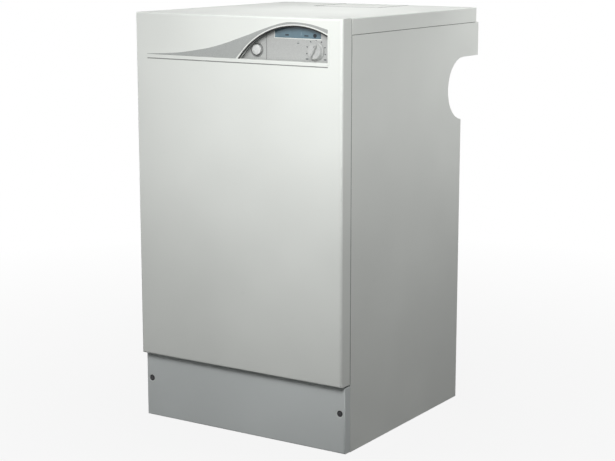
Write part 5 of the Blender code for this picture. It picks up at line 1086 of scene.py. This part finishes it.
class BOILER_OT_controls(bpy.types.Operator):
    """Fascias, display, knob, button, dial and control box"""

    bl_idname = "boiler.controls"
    bl_label = "Controls"

    def execute(self, context):
        dress("button_fascia", "control_fascia", "thermostat_body")
        dress("push_button_switch", "control_box", "circuit_board")
        self.box_top()
        self.display()
        self.knob()
        self.button()
        self.dial()
        self.seam()
        return {"FINISHED"}

    def box_top(self):
        """Cover, black strips painting shaded vent slots, screws and cable entries of the control box."""
        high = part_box("control_box")[1]
        top, thick = 1000 * high.z, 0.9
        cover = blocks("box_cover", (spot(243, -208, top - 0.2), spot(463, -141, top + thick)))
        settle(soften(cover, 0.0008), CABINET, "grey_plastic")
        slot, first = (0.0032, 0.040, 0.0002), spot(297, -174, top + thick + 0.05)
        # Painted shade: flat black strips on the cover stand for open vent slots, with no holes cut.
        vents = rows("box_vents", "rubber_and_shade", 14, (0.0085, 0, 0), slot, first)
        settle(vents, CABINET, "black_plastic")
        corners = [(left, y) for left in (250, 456) for y in (-201, -148)]
        places = [(spot(left, y, top + thick - 0.05), "up") for left, y in corners]
        screws("box_screws", CABINET, "zinc", places)
        profile = [
            (0, 0.0001), (0.0095, 0.0001), (0.0095, 0.0022), (0.0072, 0.003),
            (0.006, 0.0075), (0.0048, 0.0085), (0, 0.0085),
        ]
        height = 0.782
        for number, left in enumerate((268, 300, 332, 364)):
            place = (left / 1000 - HALF_WIDTH, high.y, height)
            plug = lathed("cable_entry_%d" % number, profile, place, -FORWARD, steps=32)
            settle(plug, CABINET, "black_plastic", "rubber_and_shade")

    def display(self):
        """The window, painted highlights along its bottom and left edges, and bare marks behind it."""
        low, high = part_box("display_window")
        dressed("display_window", "display_lens")
        face, rim = low.y - 0.0003, 0.0015
        below = rectangle(low.x - rim, high.x + rim, low.z - rim, low.z)
        beside = rectangle(low.x - rim, low.x, low.z, high.z)
        # Painted highlight: white strips on the bottom and left edges only, where the silver fascia meets the
        # window.
        border = plate("display_border", (below, beside), low.y + 0.0002, face)
        settle(soften(border, 0.0002), CABINET, "silver_paint", "white_paint")
        width = high.x - low.x
        outlines = []
        for share, rise, wide, tall, corner in (
            (0.27, 0.0056, 0.0085, 0.0026, 0.3), (0.69, 0.0051, 0.0095, 0.0022, 0.3),
            (0.875, 0.0059, 0.0082, 0.0076, 0.5),
        ):
            outlines.append(oblong(low.x + share * width, low.z + rise, wide, tall, corner=corner))
        marks = plate("display_marks", outlines, low.y, low.y - 0.00015)
        settle(marks, CABINET, "blue_lens", "display_ink")

    def knob(self):
        """The turned knob, its leaning grip with a dark pointer, and the ribs round its waist."""
        low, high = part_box("thermostat_knob")
        x, z, radius = middle_of("thermostat_knob")
        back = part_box("control_fascia")[0].y - 0.0006
        bore, reach = 0.0028, back - low.y
        waist, crown = radius * 0.88, reach * 0.58
        profile = [
            (0, back - high.y), (bore, back - high.y), (bore, 0), (radius - 0.0004, 0),
            (radius, 0.0004), (radius, 0.0016), (radius - 0.0006, 0.0024), (waist + 0.0006, 0.0028),
            (waist, 0.0034), (waist - 0.0008, crown - 0.0024), (waist - 0.0012, crown - 0.0012),
            (waist - 0.002, crown - 0.0004), (waist - 0.0032, crown), (waist - 0.0052, crown - 0.0006),
            (0, crown - 0.001),
        ]
        body = lathed("knob_body", profile, (x, back, z), steps=64)
        settle(body, "thermostat_knob", "silver_paint", "knob_silver", stands_for=("thermostat_knob",))
        lean, length, top = radians(-27), 2 * waist - 0.003, back - reach
        shoulder = top + 0.0012
        bm = bmesh.new()
        slab(bm, oblong(x, z, 0.0052, length, lean, 0.48, 5), back - crown + 0.003, shoulder)
        slab(bm, oblong(x, z, 0.0034, length - 0.002, lean, 0.48, 5), shoulder, top)
        grip = soften(closed("knob_grip", bm), 0.0003)
        settle(grip, "thermostat_knob", "silver_paint", "knob_silver")
        tip = Vector(turned(0, 1, lean)) * (length / 2 - 0.0038)
        mark = oblong(x + tip.x, z + tip.y, 0.0011, 0.0052, lean, 0.4)
        pointer = plate("knob_pointer", (mark,), top + CLEAR, top - CLEAR)
        settle(pointer, "thermostat_knob", "silver_paint", "ink")
        rib, place = (0.0011, 0.0009, crown - 0.0064), (x, back - (crown + 0.001) / 2, z)
        knurling = ribs("knob_ribs", "knob_silver", sizes().knurls, waist - 0.0003, rib, place)
        settle(knurling, "thermostat_knob", "silver_paint")

    def button(self):
        """The dished ring, darkened to paint the shade in its dish, and the domed cap that slides in it."""
        low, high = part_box("push_button_ring")
        x, z, radius = middle_of("push_button_ring")
        cap = middle_of("push_button")[2]
        bore, wall = cap + 0.0005, cap + 0.0017
        proud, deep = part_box("control_fascia")[0].y - low.y, high.y - low.y
        profile = [
            (bore, -proud - 0.0022), (bore, -deep), (wall, -deep), (wall, -proud + 0.0001),
            (radius, -proud + 0.0001), (radius, -0.0006), (radius - 0.0005, -0.0001), (radius - 0.0011, 0),
            (radius - 0.0018, -0.0003), (wall, -proud - 0.0004), (bore + 0.0002, -proud - 0.002),
        ]
        ring = lathed("button_dish", profile, (x, low.y, z), steps=64, hollow=True)
        # The darker ring lacquer paints the shade that falls in the dish.
        settle(ring, CABINET, "silver_paint", "ring_silver_shaded", stands_for=("push_button_ring",))
        front, rear = (corner.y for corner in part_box("push_button"))
        reach, dome, heel, stem = rear - front, 0.0022, 0.0052, 0.0023
        profile = [
            (0, 0), (stem, 0), (stem, heel), (cap - 0.0006, heel), (cap, heel + 0.0006),
            (cap, reach - dome - 0.0006),
        ]
        for step in range(1, 8):
            angle = step / 8 * pi / 2
            profile.append((cap * cos(angle), reach - dome + dome * sin(angle)))
        profile += [(cap * 0.1, reach - 0.0004), (cap * 0.08, reach - 0.0009), (0, reach - 0.0009)]
        piece = lathed("button_cap", profile, (x, rear, z), steps=48)
        settle(piece, "push_button", "white_plastic", stands_for=("push_button",))

    def dial(self):
        """Printed marks round the knob, at the ends of its travel and beside the display."""
        x, z, _ = middle_of("thermostat_knob")
        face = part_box("control_fascia")[0].y
        count, first, travel = 7, radians(-14), 208
        mark = (sizes().mark_length, sizes().mark_width, 0.0002)
        step = radians(travel / (count - 1))
        marks = ribs("dial_marks", "ink", count, 0.0212, mark, (x, face, z), first=first, step=step)
        settle(marks, CABINET, "silver_paint", "ink")
        ends = [oblong(x + hand * 0.0203, z - 0.0154, 0.0062, 0.0021, corner=0.45) for hand in (-1, 1)]
        settle(plate("dial_ends", ends, face, face - PRINT), CABINET, "silver_paint", "ink")
        tick = [
            oblong(x - 0.0404, z + rise, width, height, corner=0.4)
            for rise, width, height in ((0.0136, 0.0052, 0.0022), (0.0166, 0.0022, 0.0008))
        ]
        settle(plate("display_tick", tick, face, face - PRINT), CABINET, "silver_paint", "dial_grey")

    def seam(self):
        """The joint between the two fascias."""
        low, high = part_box("control_fascia")
        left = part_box("button_fascia")[1].x
        outline = rectangle(left - 0.0009, low.x + 0.0007, low.z + 0.001, high.z - 0.001)
        line = plate("fascia_seam", (outline,), low.y + 0.0002, low.y - PRINT)
        settle(line, CABINET, "silver_paint", "joint_and_shadow_grey")


class BOILER_OT_chassis(bpy.types.Operator):
    """Base tray, feet, back panel, rails, gland, grommets, pads and their screws"""

    bl_idname = "boiler.chassis"
    bl_label = "Chassis"

    def execute(self, context):
        dress("base_tray", "back_panel", "cable_gland", "top_rail_front", "top_rail_rear")
        for corner in ("front_left", "front_right", "rear_left", "rear_right"):
            dress("levelling_foot_" + corner)
        self.screw_rows()
        self.grommets()
        self.pads()
        return {"FINISHED"}

    def screw_rows(self):
        """Screws of the back panel and the side panels' front flanges, and bolts in the tray."""
        back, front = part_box("back_panel")[1].y * 1000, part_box("side_panel_left")[0].y * 1000
        rear = [(spot(left, back, z), "back") for left in (9, 481) for z in (95, 270, 445, 620, 795)]
        rear += [(spot(left, back, 75), "back") for left in (90, 245, 400)]
        screws("back_panel_screws", CABINET, "zinc", rear)
        edge = [(spot(left, front, z), "front") for left in (9, 481) for z in (230, 400, 570)]
        screws("side_flange_screws", CABINET, "zinc", edge)
        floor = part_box("base_tray")[0].z * 1000 + 1.5
        tray = [(spot(left, y, floor), "up") for left in (112, 378) for y in (-205, 95)]
        size = {"radius": 0.0045, "height": 0.0035}
        screws("base_tray_bolts", CABINET, "zinc", tray, head="hexagon", **size)

    def grommets(self):
        """Rubber rings in the back panel round each pipe, and screws through the flue collar's flange."""
        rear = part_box("back_panel")[1].y
        wall = (
            (0.0002, 0.0001), (0.0002, 0.0042), (0.0012, 0.0046), (0.0042, 0.0034),
            (0.0068, 0.0024), (0.0074, 0.0014), (0.0074, 0.0001),
        )
        water, gas = 0.014, 0.011
        pipes = {"flow_pipe": water, "return_pipe": water, "gas_inlet_pipe": gas, "condensate_pipe": gas}
        for node, radius in pipes.items():
            x, z, _ = middle_of(node)
            profile = [(radius + out, along) for out, along in wall]
            ring = lathed(node + "_grommet", profile, (x, rear, z), -FORWARD, hollow=True)
            settle(ring, CABINET, "black_plastic", "rubber_and_shade")
        x, z, radius = middle_of("flue_collar")
        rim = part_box("flue_collar")[0].y + 0.0031
        places = round_axis(x, rim, z, radius - 0.0065, pi / 4, "back")
        screws("collar_screws", CABINET, "zinc", places)

    def pads(self):
        """Stitched foam pads on the insides of the side panels and under the lid."""
        thickness = {"base": 0.003, "crown": 0.003}
        wall = -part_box("side_panel_left")[0].x - PAD_BACK
        front, depth, foot, height = -0.205, 0.305, 0.085, 0.69
        for side, hand in (("left", -1), ("right", 1)):
            quilt(
                "side_pad_" + side, CABINET, (6, 14),
                lambda u, v, up: (hand * (wall - up), front + depth * u, foot + height * v), **thickness,
            )
        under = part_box("top_panel")[1].z - 0.0017
        lid_width, lid_front, lid_depth = 0.44, -0.204, 0.286
        quilt(
            "lid_pad", "top_panel", (9, 6),
            lambda u, v, up: (lid_width * (u - 0.5), lid_front + lid_depth * v, under - up), **thickness,
        )


class BOILER_OT_heat(bpy.types.Operator):
    """Heat exchanger, burner, electrodes and fan"""

    bl_idname = "boiler.heat"
    bl_label = "Heat exchanger and fan"

    def execute(self, context):
        dress("heat_exchanger", "exchanger_stand", "burner_plate", "burner")
        dress("fan_housing", "fan_impeller", "fan_motor", "sight_glass")
        dress("ignition_electrode", "sensing_electrode", "spark_generator", "ignition_lead")
        self.bolts()
        self.motor()
        return {"FINISHED"}

    def bolts(self):
        """Bolts of the burner plate, and screws of the fan's housing and the spark generator."""
        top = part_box("burner_plate")[1].z * 1000
        rim = [(spot(left, y, top), "up") for left in (133, 189, 245, 301, 357) for y in (-157.5, 39.5)]
        rim += [(spot(left, y, top), "up") for left in (132, 358) for y in (-105, -58, -11)]
        size = {"radius": 0.0042, "height": 0.0046}
        screws("burner_plate_bolts", CABINET, "zinc", rim, head="hexagon", **size)
        axis_x, axis_z, reach = 0.170 - HALF_WIDTH, 0.700, 0.054
        ears = round_axis(axis_x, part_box("fan_housing")[0].y, axis_z, reach, radians(75), "front")
        screws("fan_housing_screws", CABINET, "zinc", ears, radius=0.0042, height=0.0022)
        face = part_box("spark_generator")[0].y * 1000
        tabs = [(spot(left, face, 617.6), "front") for left in (311.5, 348.5)]
        screws("spark_screws", CABINET, "zinc", tabs, radius=0.0026, height=0.0012)

    def motor(self):
        """Cooling ribs round the fan motor and a plug socket on its cap."""
        x, z, radius = middle_of("fan_motor")
        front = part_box("fan_motor")[0].y
        rib, place = (0.005, 0.0016, 0.020), (x, front + 0.0205, z)
        fins = ribs("motor_ribs", "black_plastic", 36, radius - 0.0045, rib, place)
        settle(fins, CABINET, "black_plastic")
        bm = bmesh.new()
        slab(bm, oblong(x, z - 0.004, 0.020, 0.011, corner=0.12), front + 0.002, front - 0.006)
        slab(bm, oblong(x, z - 0.004, 0.016, 0.007, corner=0.1), front - 0.0055, front - 0.0068)
        settle(soften(closed("motor_socket", bm), 0.0005), CABINET, "grey_plastic")


class BOILER_OT_gas(bpy.types.Operator):
    """Venturi, gas valve, gas pipes and cock"""

    bl_idname = "boiler.gas"
    bl_label = "Gas train"

    def execute(self, context):
        dress("venturi", "gas_mixing_pipe", "gas_valve", "gas_supply_pipe")
        dress("gas_cock", "gas_cock_lever", "gas_inlet_pipe")
        self.valve_fittings()
        return {"FINISHED"}

    def valve_fittings(self):
        """Pressure test nipples, an adjuster cap and cover screws on the gas valve's face."""
        x, _, _ = middle_of("gas_valve")
        _, face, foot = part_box("gas_valve")[0]
        thick, thin, bore = 0.0046, 0.0038, 0.0012
        nipple = [
            (0, -0.002), (thick, -0.002), (thick, 0.003), (thin, 0.0035), (thin, 0.008), (thick, 0.0085),
            (thick, 0.0105), (0.0032, 0.0125), (bore, 0.0125), (bore, 0.010), (0, 0.010),
        ]
        for word, away in (("low", -0.014), ("high", 0.0)):
            place = (x + away, face, foot + 0.016)
            settle(lathed("test_nipple_" + word, nipple, place, steps=24), CABINET, "brass")
        profile = [
            (0, -0.002), (0.0075, -0.002), (0.0075, 0.005), (0.007, 0.006),
            (0.0028, 0.006), (0.0024, 0.0045), (0, 0.0045),
        ]
        cap = lathed("adjuster_cap", profile, (x + 0.014, face, foot + 0.040), steps=36)
        settle(cap, CABINET, "grey_plastic")
        corners = [(across, rise) for across in (-0.0235, 0.0235) for rise in (0.0055, 0.0545)]
        places = [((x + across, face, foot + rise), "front") for across, rise in corners]
        screws("valve_cover_screws", CABINET, "zinc", places, radius=0.0028, height=0.0016)


class BOILER_OT_water(bpy.types.Operator):
    """Water pipes, thermistor, drain cock, sump, trap and flue"""

    bl_idname = "boiler.water"
    bl_label = "Water and flue"

    def execute(self, context):
        dress("flow_thermistor", "flue_sump", "condensate_trap", "condensate_pipe")
        dress("flue_riser", "flue_collar")
        dress("flow_pipe", "return_pipe", "drain_cock", "drain_cock_spindle")
        self.trap_grip()
        return {"FINISHED"}

    def trap_grip(self):
        """Grip ribs round the condensate trap's screw cap."""
        low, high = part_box("condensate_trap")
        x, _, radius = middle_of("condensate_trap")
        place = (x, (low.y + high.y) / 2, low.z + 0.097)
        slot = slot_of("condensate_trap")
        grip = ribs("trap_grip", slot, 40, radius, (0.0012, 0.0022, 0.014), place, faces="up")
        settle(grip, CABINET, slot)


class BOILER_OT_stage(bpy.types.Operator):
    """Pale floor, lamps, even room light and the camera"""

    bl_idname = "boiler.stage"
    bl_label = "Stage"

    def execute(self, context):
        stage = context.scene.boiler_stage
        self.floor()
        for name, place, target, size, power, spread in (
            ("key lamp", (0.52, -1.26, 1.21), (0.03, -0.2, 0.66), (0.9, 0.5), stage.key, 96),
            ("top lamp", (0.05, 0.1, 1.95), (0.02, 0.02, 0.85), (0.5, 0.5), stage.top, 50),
            ("left lamp", (-1.7, 0.25, 0.9), (-0.245, 0.02, 0.45), (0.7, 0.7), stage.left, 60),
            ("rear lamp", (0.8, 0.97, 1.08), (0.245, -0.05, 0.66), (0.3, 0.3), stage.rear, 90),
            ("fill lamp", (-1.6, -0.6, 1.5), (0, 0, 0.6), (1.0, 1.0), stage.fill, 120),
        ):
            lamp = self.lamp(name, place, target, size, power, radians(spread))
            lamp.visible_glossy = name not in HIDDEN_FROM_GLOSS
        self.room(stage.sky)
        camera = bpy.data.cameras.new("camera")
        camera.lens, camera.sensor_width = stage.lens, SENSOR_WIDTH
        camera.clip_start, camera.clip_end = 0.02, 60
        holder = bpy.data.objects.new("camera", camera)
        holder.location = stage.camera
        holder.rotation_euler = (pi / 2 - stage.tilt, 0, stage.turn)
        context.scene.collection.objects.link(holder)
        context.scene.camera = holder
        context.scene.view_settings.view_transform = "Standard"
        return {"FINISHED"}

    def floor(self):
        """A matt floor that takes shadows, white to the eye from a little way off the boiler."""
        bm = bmesh.new()
        bmesh.ops.create_grid(bm, x_segments=2, y_segments=2, size=14)
        floor = piece_from("floor", bm)
        tree = Tree("pale floor")
        grain = tree.noise(7, detail=4)
        speckled = tree.spread(grain, 0.3, 0.7)
        tree.colour(tree.mixed(speckled, (0.15, 0.15, 0.15), (0.17, 0.17, 0.17)))
        tree.rough(tree.spread(grain, 0.3, 0.7, 0.7, 0.85))
        tree.plain(specular_ior_level=0.2)
        glow = tree.add("ShaderNodeEmission", color=(1, 1, 1, 1), strength=1)
        reach = tree.nodes.new("ShaderNodeVectorMath")
        reach.operation = "LENGTH"
        tree.link(tree.place, reach.inputs[0])
        white = tree.spread(reach.outputs["Value"], 0.35, 1.9, 0.9, 1)
        lit, output = tree.shader.outputs["BSDF"], tree.nodes["Material Output"]
        seen_white(tree.nodes, tree.links, lit, glow.outputs["Emission"], white, output)
        floor.data.materials.append(tree.material)

    def lamp(self, name, place, target, size, power, spread):
        """A rectangular lamp that is turned to its target."""
        light = bpy.data.lights.new(name, "AREA")
        light.shape, light.energy, light.spread = "RECTANGLE", power, spread
        light.size, light.size_y = size
        holder = bpy.data.objects.new(name, light)
        holder.location = place
        holder.rotation_euler = (Vector(target) - Vector(place)).to_track_quat("-Z", "Y").to_euler()
        bpy.context.scene.collection.objects.link(holder)
        return holder

    def room(self, strength):
        """Even light from all round, in front of which the camera sees white."""
        world = bpy.data.worlds.new("room")
        bpy.context.scene.world = world
        world.use_nodes = True
        nodes = world.node_tree.nodes
        base = nodes["Background"]
        base.inputs["Color"].default_value = (1, 1, 1, 1)
        base.inputs["Strength"].default_value = strength
        white = nodes.new("ShaderNodeBackground")
        white.inputs["Color"].default_value = (1, 1, 1, 1)
        lit, seen = base.outputs["Background"], white.outputs["Background"]
        seen_white(nodes, world.node_tree.links, lit, seen, 1, nodes["World Output"])


class BOILER_PT_panel(bpy.types.Panel):
    """Sizes, colours and makers of the boiler"""

    bl_label = "Boiler"
    bl_space_type = "VIEW_3D"
    bl_region_type = "UI"
    bl_category = "Boiler"

    def draw(self, context):
        scene = context.scene
        groups = {"Colours": scene.boiler_colours, "Sizes": scene.boiler_sizes, "Stage": scene.boiler_stage}
        for title, group in groups.items():
            box = self.layout.box()
            box.label(text=title)
            for name in group.__annotations__:
                box.prop(group, name)
        for operator in OPERATORS:
            self.layout.operator(operator.bl_idname)


OPERATORS = (
    BOILER_OT_cabinet, BOILER_OT_door, BOILER_OT_controls, BOILER_OT_chassis,
    BOILER_OT_heat, BOILER_OT_gas, BOILER_OT_water, BOILER_OT_stage,
)
CLASSES = (BoilerColours, BoilerSizes, BoilerStage, *OPERATORS, BOILER_PT_panel)


def register():
    for kind in CLASSES:
        bpy.utils.register_class(kind)
    bpy.types.Scene.boiler_colours = PointerProperty(type=BoilerColours)
    bpy.types.Scene.boiler_sizes = PointerProperty(type=BoilerSizes)
    bpy.types.Scene.boiler_stage = PointerProperty(type=BoilerStage)


def unregister():
    del bpy.types.Scene.boiler_stage, bpy.types.Scene.boiler_sizes, bpy.types.Scene.boiler_colours
    for kind in reversed(CLASSES):
        bpy.utils.unregister_class(kind)


def main():
    register()
    for operator in OPERATORS:
        group, name = operator.bl_idname.split(".")
        getattr(getattr(bpy.ops, group), name)()


if __name__ == "__main__":
    main()
